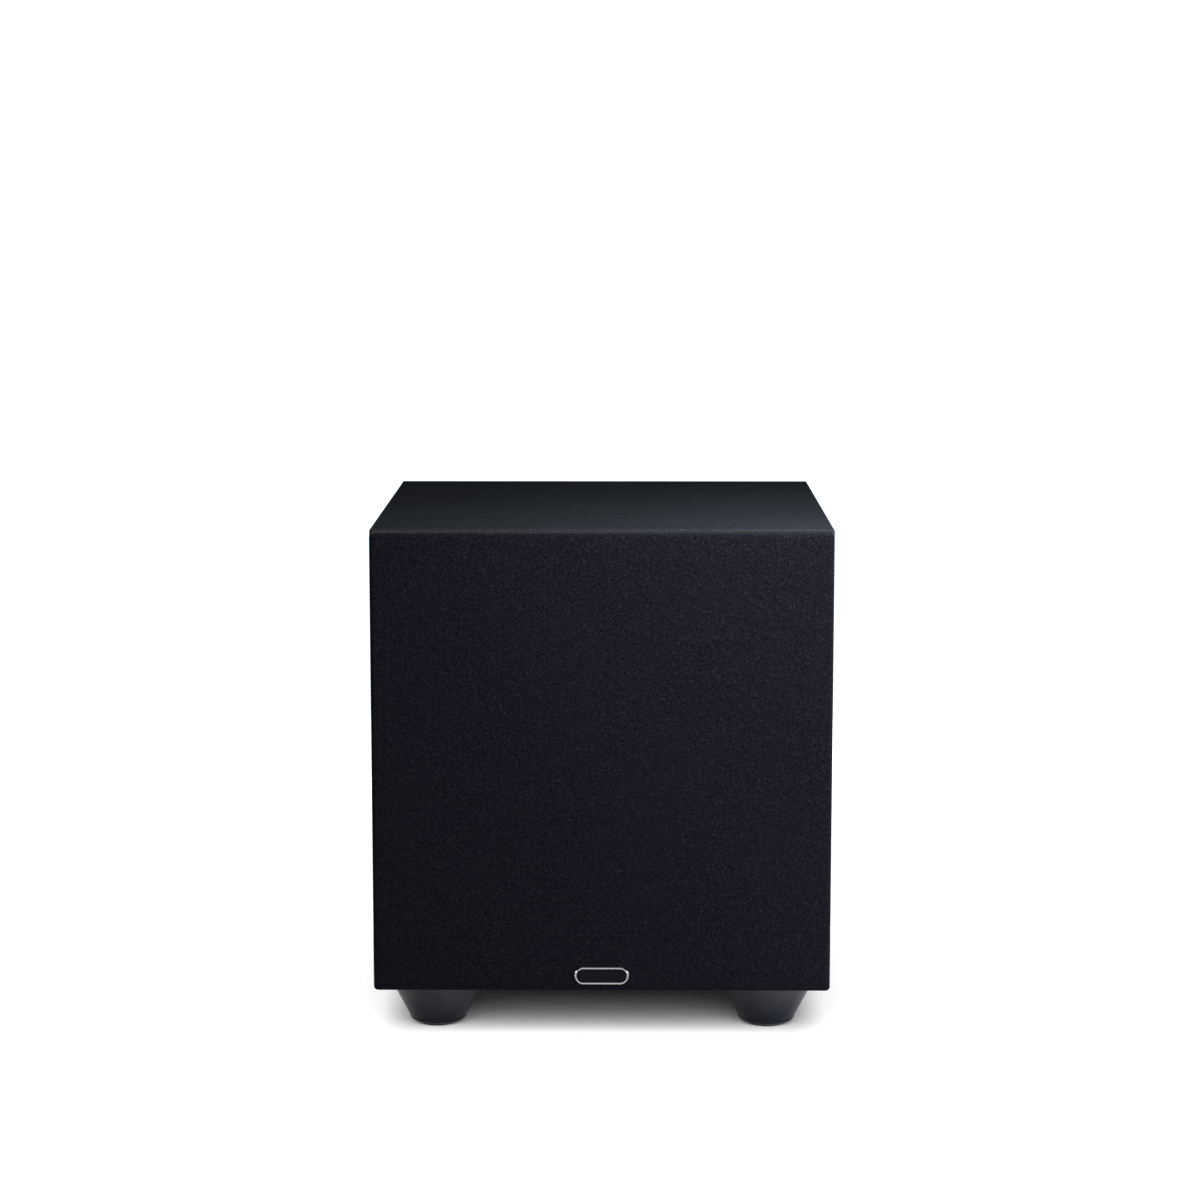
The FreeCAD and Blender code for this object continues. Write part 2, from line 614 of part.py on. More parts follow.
# ---------------------------------------------------------------- speaker wires
WIRE_R, WIRE_BEND_R = 1.6, 12.0
WIRE_SPREAD = 4.0                      # each wire, either side of their common route
WIRE_START_X = 96.0
WIRE_Z = MID_Z - BRACE_CORNER          # height of their run through the brace
BOARD_GAP = 16.0                       # plate to circuit board
BOARD_THICK = 1.6
BOARD_IN_Y = PLATE_IN_Y - BOARD_GAP - BOARD_THICK


def bent_wire(points, radius):
    """A round wire along straight runs joined by tangent arcs."""
    path, here = [], points[0]
    for before, corner, after in zip(points, points[1:], points[2:]):
        into = (corner - before).normalize()
        out = (after - corner).normalize()
        set_back = WIRE_BEND_R * math.tan(into.getAngle(out) / 2)
        start, end = corner - into * set_back, corner + out * set_back
        inward = (out - into).normalize()
        reach = math.sqrt(WIRE_BEND_R**2 + set_back**2)
        middle = corner + inward * (reach - WIRE_BEND_R)
        path += [Part.LineSegment(here, start).toShape(), Part.Arc(start, middle, end).toShape()]
        here = end
    path.append(Part.LineSegment(here, points[-1]).toShape())
    section = Part.Wire([Part.makeCircle(radius, points[0], points[1] - points[0])])
    return Part.Wire(path).makePipeShell([section], True, True)


def speaker_wires():
    """Two leads from the circuit board, through the brace, to the driver's tabs."""
    straight_end = BOARD_IN_Y - 25
    brace_end = BAFFLE_Y + BRACE_FROM + BRACE_T + 20
    made = []
    for side in (-1, 1):
        first_x, x = WIRE_START_X + side * WIRE_SPREAD, BRACE_CORNER + side * WIRE_SPREAD
        y, z = BAFFLE_Y + TERMINAL_S, MID_Z + side * TAB_RISE
        route = [V(first_x, BOARD_IN_Y, WIRE_Z), V(first_x, straight_end, WIRE_Z), V(x, brace_end, WIRE_Z)]
        route += [V(x, y, WIRE_Z), V(x, y, z), V(TAB_END, y, z)]
        made.append(bent_wire(route, WIRE_R))
    return group(made)


# ---------------------------------------------------------------- vent
VENT_R, VENT_WALL, VENT_LEN = 28.0, 2.5, 165.0
FLARE_R, VENT_FLANGE_R, VENT_FLANGE_T, VENT_EDGE_R = 16.0, 52.0, 2.5, 1.5
INNER_FLARE_R = 8.0


def port_tube():
    """A moulded vent with a flared mouth, measured inwards from the rear panel's face."""
    bore, wall, lip = VENT_R, VENT_R + VENT_WALL, VENT_HOLE_R - 0.2
    knee, mouth, face = FLARE_R - VENT_FLANGE_T, bore + FLARE_R, -VENT_FLANGE_T
    far, inner_mouth = VENT_LEN, bore + INNER_FLARE_R
    outer_mid = arc_middle(FLARE_R)
    inner_mid = arc_middle(INNER_FLARE_R)
    edge_mid = arc_middle(VENT_EDGE_R)
    points = [(bore, knee), ((bore + outer_mid, face + outer_mid), (mouth, face))]
    points += [(VENT_FLANGE_R - VENT_EDGE_R, face), ((VENT_FLANGE_R - edge_mid, face + edge_mid),
                                                     (VENT_FLANGE_R, face + VENT_EDGE_R))]
    points += [(VENT_FLANGE_R, 0), (lip, 0), (lip, 3), (wall, 17), (wall, far - 12)]
    points += [(inner_mouth + VENT_WALL, far - 2), (inner_mouth + VENT_WALL, far), (inner_mouth, far)]
    points += [((bore + inner_mid, far - inner_mid), (bore, far - INNER_FLARE_R))]
    return turned(points, V(0, PANEL_Y, VENT_Z), -Y_AXIS)


# ---------------------------------------------------------------- amplifier
LEVEL_AT, CUTOFF_AT = (-88.0, 46.0), (-88.0, -2.0)
PHASE_AT, MODE_AT = (-88.0, -48.0), (-48.0, 46.0)
RCA_AT = ((-48.0, -26.0), (-48.0, -50.0))
TRIGGER_AT, LAMP_AT = (-48.0, 4.0), (-48.0, 68.0)
HEAT_SINK_AT, HEAT_SINK_W, HEAT_SINK_H = (14.0, 0.0), 66.0, 132.0
INLET_AT, ROCKER_AT = (86.0, -26.0), (86.0, 44.0)

PLATE_SCREW_INSET = 6.0


def plate_screw_places():
    """(x, z) of the ten screws round the plate."""
    x, z = PLATE_W / 2 - PLATE_SCREW_INSET, PLATE_H / 2 - PLATE_SCREW_INSET
    spots = [(x * i / 3, z * k) for k in (-1, 1) for i in (-3, -1, 1, 3)] + [(-x, 0), (x, 0)]
    return [(px, PLATE_MID_Z + pz) for px, pz in spots]


BUSHING_R, SHAFT_R = 3.5, 3.0
RCA_FLANGE_R, RCA_SHELL_R, RCA_CORE_R, RCA_BORE_R = 5.8, 4.15, 3.4, 1.65
RCA_LEN, RCA_FLANGE_T = 11.0, 2.0
TRIGGER_BODY_R, TRIGGER_NUT_R, TRIGGER_NUT_T, TRIGGER_R, TRIGGER_DEPTH = 3.0, 4.4, 2.2, 1.8, 14.0
LAMP_R = 1.5
SLOT_W, SLOT_H = 10.4, 4.2
INLET_W, INLET_H = 28.0, 36.0
INLET_FLANGE_W, INLET_FLANGE_H, INLET_FLANGE_T = 34.0, 42.0, 2.4
ROCKER_BODY_W, ROCKER_BODY_H = 17.6, 25.4
ROCKER_FLANGE_W, ROCKER_FLANGE_H, ROCKER_FLANGE_T = 21.0, 29.0, 2.0
FIT = 0.1                              # clearance round parts let into the plate


def amp_plate():
    """The steel rear plate, with a hole for each control and connector."""
    y0, y1 = PLATE_IN_Y, PLATE_Y
    plate = rounded_slab(0, PLATE_MID_Z, PLATE_W, PLATE_H, 5.0, y0, y1)
    holes = [(p, SCREW_HOLE_R) for p in plate_screw_places()]
    holes += [(on_plate(*p), BUSHING_R + FIT) for p in (LEVEL_AT, CUTOFF_AT)]
    holes += [(on_plate(*p), RCA_SHELL_R + FIT) for p in RCA_AT]
    holes += [(on_plate(*TRIGGER_AT), TRIGGER_BODY_R + FIT), (on_plate(*LAMP_AT), LAMP_R + FIT)]
    cutters = [rod(x, z, r, y0, y1) for (x, z), r in holes]
    openings = [(MODE_AT, SLOT_W, SLOT_H), (PHASE_AT, SLOT_W, SLOT_H)]
    openings.append((INLET_AT, INLET_W + FIT, INLET_H + FIT))
    openings.append((ROCKER_AT, ROCKER_BODY_W + FIT, ROCKER_BODY_H + FIT))
    cutters += [block(*on_plate(*p), w, h, y0, y1) for p, w, h in openings]
    return cut_all(plate, cutters)


def amp_gasket():
    """The foam frame that seals the plate to the rear panel."""
    outer = block(0, PLATE_MID_Z, PLATE_W - 4, PLATE_H - 4, PANEL_Y, PLATE_IN_Y)
    inner_w, inner_h = PLATE_W - 2 * PLATE_MARGIN + 2, PLATE_H - 2 * PLATE_MARGIN + 2
    cutters = [block(0, PLATE_MID_Z, inner_w, inner_h, PANEL_Y, PLATE_IN_Y)]
    cutters += [rod(x, z, SCREW_HOLE_R, PANEL_Y, PLATE_IN_Y) for x, z in plate_screw_places()]
    return cut_all(outer, cutters)


def plate_screws():
    """Ten pan-head screws through the plate and gasket into the rear panel."""
    made = []
    for x, z in plate_screw_places():
        screw = pan_screw(M4_HEAD_R, M4_HEAD_H, M4_R, 16.0)
        screw.translate(V(x, PLATE_Y, z))
        made.append(screw)
    return group(made)


FIN_COUNT, FIN_T, FIN_H, SINK_BASE_T = 9, 2.0, 10.0, 4.0


def heat_sink():
    """An extruded heat sink with upright fins."""
    x, z = on_plate(*HEAT_SINK_AT)
    sink = block(x, z, HEAT_SINK_W, HEAT_SINK_H, PLATE_Y, PLATE_Y + SINK_BASE_T)
    pitch = (HEAT_SINK_W - FIN_T) / (FIN_COUNT - 1)
    root = PLATE_Y + SINK_BASE_T
    for i in range(FIN_COUNT):
        fin_x = x + pitch * (i - (FIN_COUNT - 1) / 2)
        fin = block(fin_x, z, FIN_T, HEAT_SINK_H, root, root + FIN_H)
        tip = [e for e in fin.Edges if e.CenterOfMass.y > root + FIN_H - 0.01 and e.Length > FIN_T]
        sink = sink.fuse(fin.makeFillet(0.35 * FIN_T, tip))
    return sink.removeSplitter()


KNOB_R, KNOB_SKIRT_R, KNOB_SKIRT_H, FLUTES, FLUTE_R = 8.2, 9.6, 2.6, 20, 0.6
SHAFT_REACH = 9.0                      # shaft tip beyond the knob's underside
POT_W, POT_D, SHAFT_IN = 16.0, 9.0, 6.0


def knob(place):
    """A fluted knob with a skirt and a pointer groove at twelve o'clock."""
    x, z = on_plate(*place)
    base, bore, edge = PLATE_Y + KNOB_GAP, SHAFT_R + 0.02, 0.8
    points = [(bore, 0), (KNOB_SKIRT_R, 0), (KNOB_SKIRT_R, 1.2), (KNOB_R, KNOB_SKIRT_H)]
    points += [(KNOB_R, KNOB_H - edge), (KNOB_R - edge, KNOB_H), (0, KNOB_H)]
    body = turned(points + [(0, SHAFT_REACH), (bore, SHAFT_REACH)], V(x, base, z))
    for i in range(FLUTES):
        angle = 2 * math.pi * (i + 0.5) / FLUTES
        flute_x, flute_z = x + KNOB_R * math.sin(angle), z + KNOB_R * math.cos(angle)
        body = body.cut(rod(flute_x, flute_z, FLUTE_R, base + KNOB_SKIRT_H + 0.6, base + KNOB_H + 1))
    pointer = box(x - 0.5, x + 0.5, base + KNOB_H - 0.5, base + KNOB_H + 1, z + 2.0, z + KNOB_R + 1)
    return body.cut(pointer)


def knob_shaft(place):
    """The control's shaft, from inside its body out into the knob."""
    x, z = on_plate(*place)
    return rod(x, z, SHAFT_R, PLATE_IN_Y - SHAFT_IN, PLATE_Y + KNOB_GAP + SHAFT_REACH - 0.1)


def pot_bodies():
    """The two rotary controls behind the plate, with bushings through it."""
    made = []
    for place in (LEVEL_AT, CUTOFF_AT):
        x, z = on_plate(*place)
        body = block(x, z, POT_W, POT_W, PLATE_IN_Y - POT_D, PLATE_IN_Y)
        body = body.fuse(rod(x, z, BUSHING_R, PLATE_IN_Y, PLATE_Y + 0.6))
        made.append(body.cut(rod(x, z, SHAFT_R + 0.05, PLATE_IN_Y - SHAFT_IN - 0.1, PLATE_Y + 0.6)))
    return group(made)


def rca_shells():
    """The plated outer contacts of the two line inputs."""
    shell, inner, edge = RCA_SHELL_R, RCA_CORE_R + 0.02, 0.4
    made = []
    for place in RCA_AT:
        x, z = on_plate(*place)
        points = [(inner, -8), (shell, -8), (shell, 0), (RCA_FLANGE_R, 0)]
        points += [(RCA_FLANGE_R, RCA_FLANGE_T - edge), (RCA_FLANGE_R - edge, RCA_FLANGE_T)]
        points += [(shell, RCA_FLANGE_T), (shell, RCA_LEN - edge), (shell - edge, RCA_LEN), (inner, RCA_LEN)]
        made.append(turned(points, V(x, PLATE_Y, z)))
    return group(made)


def rca_cores():
    """The insulators of the line inputs, each with a contact hole down its middle."""
    made = []
    for place in RCA_AT:
        x, z = on_plate(*place)
        core = rod(x, z, RCA_CORE_R, PLATE_Y - 10, PLATE_Y + RCA_LEN - 0.8)
        made.append(core.cut(rod(x, z, RCA_BORE_R, PLATE_Y, PLATE_Y + RCA_LEN - 0.8)))
    return group(made)


def trigger_jack():
    """The 3.5 mm control jack and its ring nut."""
    x, z = on_plate(*TRIGGER_AT)
    mouth = PLATE_Y + TRIGGER_NUT_T
    body = rod(x, z, TRIGGER_BODY_R, PLATE_Y - TRIGGER_DEPTH, PLATE_Y)
    nut = bevel_face(rod(x, z, TRIGGER_NUT_R, PLATE_Y, mouth), mouth, 0.5)
    return body.fuse(nut).cut(rod(x, z, TRIGGER_R, mouth - TRIGGER_DEPTH, mouth))


def status_lamp():
    """The light pipe of the power lamp."""
    x, z = on_plate(*LAMP_AT)
    rim, tip = 0.4, 1.2
    crown = (LAMP_R / 2, tip - dome_drop(LAMP_R / 2, LAMP_R, tip - rim))
    return turned([(0, -8), (LAMP_R, -8), (LAMP_R, rim), (crown, (0, tip))], V(x, PLATE_Y, z))


SWITCH_W, SWITCH_H, SWITCH_D = 15.0, 8.0, 7.0
LEVER_W, LEVER_H, LEVER_OUT = 3.8, 3.4, 1.8
MODE_TRAVEL, PHASE_TRAVEL = 2.8, 5.6   # the mode lever rests in the middle, the phase one at an end
CARRIAGE_W, CARRIAGE_H, CARRIAGE_D = 5.4, 5.0, 2.0


def switch_bodies():
    """The housings of the two slide switches, open towards the plate."""
    made = []
    for place in (MODE_AT, PHASE_AT):
        x, z = on_plate(*place)
        body = block(x, z, SWITCH_W, SWITCH_H, PLATE_IN_Y - SWITCH_D, PLATE_IN_Y)
        hollow = block(x, z, SWITCH_W - 2.4, SWITCH_H - 2.4, PLATE_IN_Y - SWITCH_D + 2, PLATE_IN_Y)
        made.append(body.cut(hollow))
    return group(made)


def slide_lever(place, offset):
    """A slide switch's lever on its carriage, with grip grooves."""
    x, z = on_plate(*place)
    x += offset
    carriage = block(x, z, CARRIAGE_W, CARRIAGE_H, PLATE_IN_Y - 3, PLATE_IN_Y - 3 + CARRIAGE_D)
    lever = block(x, z, LEVER_W, LEVER_H, PLATE_IN_Y - 3, PLATE_Y + LEVER_OUT)
    for i in (-1, 0, 1):
        lever = lever.cut(block(x + i, z, 0.4, LEVER_H, PLATE_Y + LEVER_OUT - 0.4, PLATE_Y + LEVER_OUT))
    return carriage.fuse(lever)


CAVITY_W, CAVITY_H, CAVITY_D, CAVITY_UP = 24.0, 16.6, 17.0, 6.5
DRAWER_W, DRAWER_H, DRAWER_D, DRAWER_UP = 23.0, 8.0, 13.0, -11.0
PIN_W, PIN_T, PIN_LEN = 2.0, 4.0, 12.0
INLET_BACK = 21.0


def inlet_pin_places():
    """(x, z) of the three contacts: two level ones and a raised middle one."""
    x, z = on_plate(*INLET_AT)
    return [(x - 7, z + CAVITY_UP - 2), (x + 7, z + CAVITY_UP - 2), (x, z + CAVITY_UP + 2)]


def power_inlet():
    """The mains inlet: a flanged housing with the plug's cavity over a fuse drawer's slot."""
    x, z = on_plate(*INLET_AT)
    face = PLATE_Y + INLET_FLANGE_T
    back = PLATE_Y - INLET_BACK
    body = block(x, z, INLET_W, INLET_H, back, PLATE_Y)
    flange = rounded_slab(x, z, INLET_FLANGE_W, INLET_FLANGE_H, 3.0, PLATE_Y, face)
    flange = bevel_face(flange, face, 0.8)
    w, h, cut = CAVITY_W / 2, CAVITY_H / 2, 5.0
    cz = z + CAVITY_UP
    corners = [(x - w, cz - h), (x - w, cz + h - cut), (x - w + cut, cz + h), (x + w - cut, cz + h)]
    cavity = slab(corners + [(x + w, cz + h - cut), (x + w, cz - h)], face - CAVITY_D, face)
    slot = block(x, z + DRAWER_UP, DRAWER_W, DRAWER_H, face - DRAWER_D - 1, face)
    pins = [block(px, pz, PIN_W, PIN_T, back, face - CAVITY_D) for px, pz in inlet_pin_places()]
    return cut_all(body.fuse(flange), [cavity, slot] + pins)


def inlet_pins():
    """Three flat contacts with rounded tips, through the inlet's back wall."""
    tip = PLATE_Y + INLET_FLANGE_T - CAVITY_D + PIN_LEN
    made = []
    for x, z in inlet_pin_places():
        pin = block(x, z, PIN_W, PIN_T, PLATE_Y - INLET_BACK - 6, tip)
        made.append(bevel_face(pin, tip, 0.6))
    return group(made)


FUSE_R, FUSE_LEN, FUSE_IN, FUSE_FIT = 2.5, 20.0, 7.5, 0.2   # the fuse lies across the drawer
FUSE_CAP, FUSE_GLASS_R, FUSE_GLUE = 5.0, 2.3, 0.05
DRAWER_FIT = 0.2


def fuse_drawer():
    """The drawer under the cavity: a grip front and a tray for the fuse."""
    x, z = on_plate(*INLET_AT)
    z += DRAWER_UP
    face = PLATE_Y + INLET_FLANGE_T
    w, h = DRAWER_W - 2 * DRAWER_FIT, DRAWER_H - 2 * DRAWER_FIT
    tray = block(x, z, w, h, face - DRAWER_D, face + 1.2)
    tray = bevel_face(tray, face + 1.2, 0.5)
    axis_y, length, radius = face - FUSE_IN, FUSE_LEN + 2 * FUSE_FIT, FUSE_R + FUSE_FIT
    trough = Part.makeCylinder(radius, length, V(x - length / 2, axis_y, z), X_AXIS)
    open_top = block(x, z + h / 2, length, h, axis_y - radius, axis_y + radius)
    notch = block(x, z + h / 2, 9.0, 2.4, face + 0.1, face + 1.2)
    return cut_all(tray, [trough, open_top, notch])


def fuse():
    """The cartridge fuse: a glass tube between two caps, as three solids."""
    x, z = on_plate(*INLET_AT)
    y, half = PLATE_Y + INLET_FLANGE_T - FUSE_IN, FUSE_LEN / 2
    glass = half - FUSE_CAP - FUSE_GLUE
    made = []
    for radius, start, end in ((FUSE_R, -half, FUSE_CAP - half), (FUSE_GLASS_R, -glass, glass),
                               (FUSE_R, half - FUSE_CAP, half)):
        made.append(Part.makeCylinder(radius, end - start, V(x + start, y, z + DRAWER_UP), X_AXIS))
    return group(made)


ROCKER_R, ROCKER_W, ROCKER_TILT, PIVOT_IN = 10.5, 13.0, 9.0, 1.5
ROCKER_CENTRE_H, ROCKER_DEPTH = 1.9, 6.0
STUB_R, STUB_LEN = 1.5, 1.2
PIVOT_Y = PLATE_Y + ROCKER_FLANGE_T - PIVOT_IN


def rocker_frame():
    """The mains switch's housing, with a window for the rocker and holes for its pivots."""
    x, z = on_plate(*ROCKER_AT)
    face = PLATE_Y + ROCKER_FLANGE_T
    flange = rounded_slab(x, z, ROCKER_FLANGE_W, ROCKER_FLANGE_H, 2.0, PLATE_Y, face)
    flange = bevel_face(flange, face, 0.6)
    body = block(x, z, ROCKER_BODY_W, ROCKER_BODY_H, PLATE_Y - 18, PLATE_Y)
    window = block(x, z, ROCKER_W + 0.5, 2 * ROCKER_R + 0.6, PIVOT_Y - ROCKER_R - 0.4, face)
    half = ROCKER_W / 2 + STUB_LEN + 0.2
    pivot = Part.makeCylinder(STUB_R + SNUG, 2 * half, V(x - half, PIVOT_Y, z), X_AXIS)
    return cut_all(flange.fuse(body), [window, pivot])


def rocker():
    """The rocker, its lower half pressed in for off: two faces that meet in a shallow valley."""
    x, z = on_plate(*ROCKER_AT)
    left, r, inner, valley = x - ROCKER_W / 2, ROCKER_R, PIVOT_Y - ROCKER_DEPTH, PIVOT_Y + ROCKER_CENTRE_H
    end = valley + r * math.tan(math.radians(ROCKER_TILT))
    corners = [(-r, inner), (r, inner), (r, end), (0, valley), (-r, end)]
    wire = outline(corners, lambda up, y: V(left, y, z + up))
    drum = Part.makeCylinder(r, ROCKER_W, V(left, PIVOT_Y, z), X_AXIS)
    key = drum.common(Part.Face(wire).extrude(V(ROCKER_W, 0, 0)))
    half = ROCKER_W / 2 + STUB_LEN
    key = key.fuse(Part.makeCylinder(STUB_R, 2 * half, V(x - half, PIVOT_Y, z), X_AXIS))
    key.rotate(V(x, PIVOT_Y, z), X_AXIS, -ROCKER_TILT)
    return key


# ---------------------------------------------------------------- electronics
BOARD_W, BOARD_H = 206.0, 140.0
STANDOFF_R = 3.2


def circuit_board():
    """The amplifier's circuit board, cleared round the inlet and the mains switch."""
    y0 = BOARD_IN_Y
    board = block(0, PLATE_MID_Z, BOARD_W, BOARD_H, y0, y0 + BOARD_THICK)
    cutters = [block(*on_plate(*INLET_AT), INLET_W + 4, INLET_H + 4, y0, y0 + BOARD_THICK)]
    cutters.append(block(*on_plate(*ROCKER_AT), ROCKER_BODY_W + 4, ROCKER_BODY_H + 4, y0, y0 + BOARD_THICK))
    return cut_all(board, cutters)


def board_standoffs():
    """Four hexagonal posts between the plate and the board."""
    made = []
    for across, up in four_corners(BOARD_W / 2 - 7, BOARD_H / 2 - 6):
        x, z = on_plate(across, up)
        angles = [math.pi / 3 * i for i in range(6)]
        corners = [(x + STANDOFF_R * math.cos(a), z + STANDOFF_R * math.sin(a)) for a in angles]
        made.append(slab(corners, BOARD_IN_Y + BOARD_THICK, PLATE_IN_Y))
    return group(made)


def transformer():
    """The supply's transformer: a ferrite core round a wound bobbin."""
    x, z = on_plate(30.0, 14.0)
    back, wall, gap = BOARD_IN_Y, 6.0, 0.2
    core = block(x, z, 42, 36, back - 34, back)
    window = block(x, z, 42 - 2 * wall, 46, back - 34 + wall, back - wall)
    wound_w, wound_y0, wound_y1 = 42 - 2 * (wall + gap), back - 34 + wall + gap, back - wall - gap
    winding = block(x, z, wound_w, 46, wound_y0, wound_y1)
    return group([core.cut(window), winding])


CAN_R, CAN_LEN = 11.0, 30.0


def capacitors():
    """The supply's reservoir capacitors."""
    made = []
    for across, up in ((-30.0, 30.0), (-30.0, 2.0), (-30.0, -26.0)):
        x, z = on_plate(across, up)
        can = rod(x, z, CAN_R, BOARD_IN_Y - CAN_LEN, BOARD_IN_Y)
        made.append(bevel_face(can, BOARD_IN_Y - CAN_LEN, 1.2))
    return group(made)


# ---------------------------------------------------------------- the whole object
def build():
    """Every sub-part, by node name."""
    made = boards()
    made["front_baffle"] = front_baffle()
    made["rear_panel"] = rear_panel()
    made["window_brace"] = window_brace()
    made["damping_pads"] = damping_pads()
    foot_names = ("foot_front_left", "foot_front_right", "foot_rear_left", "foot_rear_right")
    for name, place in zip(foot_names, foot_places()):
        made[name] = foot(*place)
    made["foot_pads"] = group([foot_pad(*place) for place in foot_places()])
    made["foot_screws"] = foot_screws()
    made["grille_frame"] = grille_frame()
    made["grille_cloth"] = grille_cloth()
    made["badge"] = badge()
    made["grille_pegs"] = grille_pegs()
    made["grille_sockets"] = grille_sockets()
    made["basket"] = basket()
    made["basket_seal"] = basket_seal()
    made["surround"] = surround()
    made["cone"] = cone()
    made["dust_cap"] = dust_cap()
    made["coil_former"] = coil_former()
    made["coil_winding"] = coil_winding()
    made["spider"] = spider()
    made["top_plate"] = top_plate()
    made["magnet"] = magnet()
    made["pole_yoke"] = pole_yoke()
    made["driver_screws"] = driver_screws()
    made["terminal_strip"] = terminal_strip()
    made["speaker_wires"] = speaker_wires()
    made["port_tube"] = port_tube()
    made["amp_plate"] = amp_plate()
    made["amp_gasket"] = amp_gasket()
    made["plate_screws"] = plate_screws()
    made["heat_sink"] = heat_sink()
    for name, place in (("level", LEVEL_AT), ("cutoff", CUTOFF_AT)):
        made[name + "_knob"] = knob(place)
        made[name + "_shaft"] = knob_shaft(place)
    made["pot_bodies"] = pot_bodies()
    made["rca_shells"] = rca_shells()
    made["rca_cores"] = rca_cores()
    made["trigger_jack"] = trigger_jack()
    made["status_lamp"] = status_lamp()
    made["switch_bodies"] = switch_bodies()
    made["mode_lever"] = slide_lever(MODE_AT, 0)
    made["phase_lever"] = slide_lever(PHASE_AT, PHASE_TRAVEL / 2)
    made["power_inlet"] = power_inlet()
    made["inlet_pins"] = inlet_pins()
    made["fuse_drawer"] = fuse_drawer()
    made["fuse"] = fuse()
    made["rocker_frame"] = rocker_frame()
    made["rocker"] = rocker()
    made["circuit_board"] = circuit_board()
    made["board_standoffs"] = board_standoffs()
    made["transformer"] = transformer()
    made["capacitors"] = capacitors()
    return made


def main():
    """Writes one STEP file for each sub-part, and prints what needs watching."""
    os.makedirs("parts", exist_ok=True)
    nodes = build()
    for name, shape in nodes.items():
        solids = shape.Solids
        if not solids or not shape.isValid():
            print("PROBLEM", name, "solids", len(solids), "valid", shape.isValid())
        shape = solids[0] if len(solids) == 1 else Part.makeCompound(solids)
        shape.exportStep("parts/" + name + ".step")
    print(len(nodes), "nodes, speaker wire bends of", WIRE_BEND_R, "mm")


main()
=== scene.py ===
"""Looks of the compact powered subwoofer: materials, soft parts, printed marks, studio and camera.

Metres, in the CAD frame: +X right, +Y back, +Z up, grille facing -Y, origin on the floor.
"""

import json
import math

import bmesh
import bpy
from mathutils import Matrix, Vector, noise
from mathutils.bvhtree import BVHTree
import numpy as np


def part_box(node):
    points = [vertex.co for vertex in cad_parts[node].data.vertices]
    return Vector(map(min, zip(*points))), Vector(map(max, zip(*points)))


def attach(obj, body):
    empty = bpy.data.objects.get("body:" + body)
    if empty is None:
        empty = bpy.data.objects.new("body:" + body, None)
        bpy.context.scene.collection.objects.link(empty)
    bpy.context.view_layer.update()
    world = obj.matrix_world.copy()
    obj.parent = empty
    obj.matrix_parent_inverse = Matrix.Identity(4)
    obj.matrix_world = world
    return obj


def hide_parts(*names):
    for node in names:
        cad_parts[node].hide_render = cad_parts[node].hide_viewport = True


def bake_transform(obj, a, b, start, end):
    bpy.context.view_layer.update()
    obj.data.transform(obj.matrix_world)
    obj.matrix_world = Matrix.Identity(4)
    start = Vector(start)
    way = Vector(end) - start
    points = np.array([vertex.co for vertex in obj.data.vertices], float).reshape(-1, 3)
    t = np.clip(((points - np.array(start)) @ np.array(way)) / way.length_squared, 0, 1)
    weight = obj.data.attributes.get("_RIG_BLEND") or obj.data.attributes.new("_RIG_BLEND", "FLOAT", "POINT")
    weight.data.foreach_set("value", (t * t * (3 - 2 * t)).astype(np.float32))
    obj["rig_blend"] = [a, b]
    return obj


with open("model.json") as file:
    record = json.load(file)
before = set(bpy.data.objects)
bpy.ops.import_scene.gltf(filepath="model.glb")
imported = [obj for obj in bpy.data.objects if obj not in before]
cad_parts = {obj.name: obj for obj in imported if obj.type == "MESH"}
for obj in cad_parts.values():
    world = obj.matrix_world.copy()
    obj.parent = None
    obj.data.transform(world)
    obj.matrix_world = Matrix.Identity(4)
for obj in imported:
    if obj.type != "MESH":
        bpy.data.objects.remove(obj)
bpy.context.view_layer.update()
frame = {"nodes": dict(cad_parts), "record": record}

NODES = frame["nodes"]
MM = 0.001


# ---------------------------------------------------------------- places read from the frame
def middle(node):
    """The centre of a CAD node's box."""
    low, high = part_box(node)
    return (low + high) / 2


CLOTH_LOW, CLOTH_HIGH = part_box("grille_cloth")
BADGE_LOW, BADGE_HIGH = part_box("badge")
DRIVER = middle("magnet")                 # the driver's axis runs along Y through here
BAFFLE_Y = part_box("front_baffle")[0].y    # the baffle's front face
FACE_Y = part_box("amp_plate")[1].y         # the amplifier plate's outer face


# ---------------------------------------------------------------- node materials
MIX_FROM, MIX_TO, MIX_RESULT = 6, 7, 2    # a Mix node's colour sockets, which share names with others


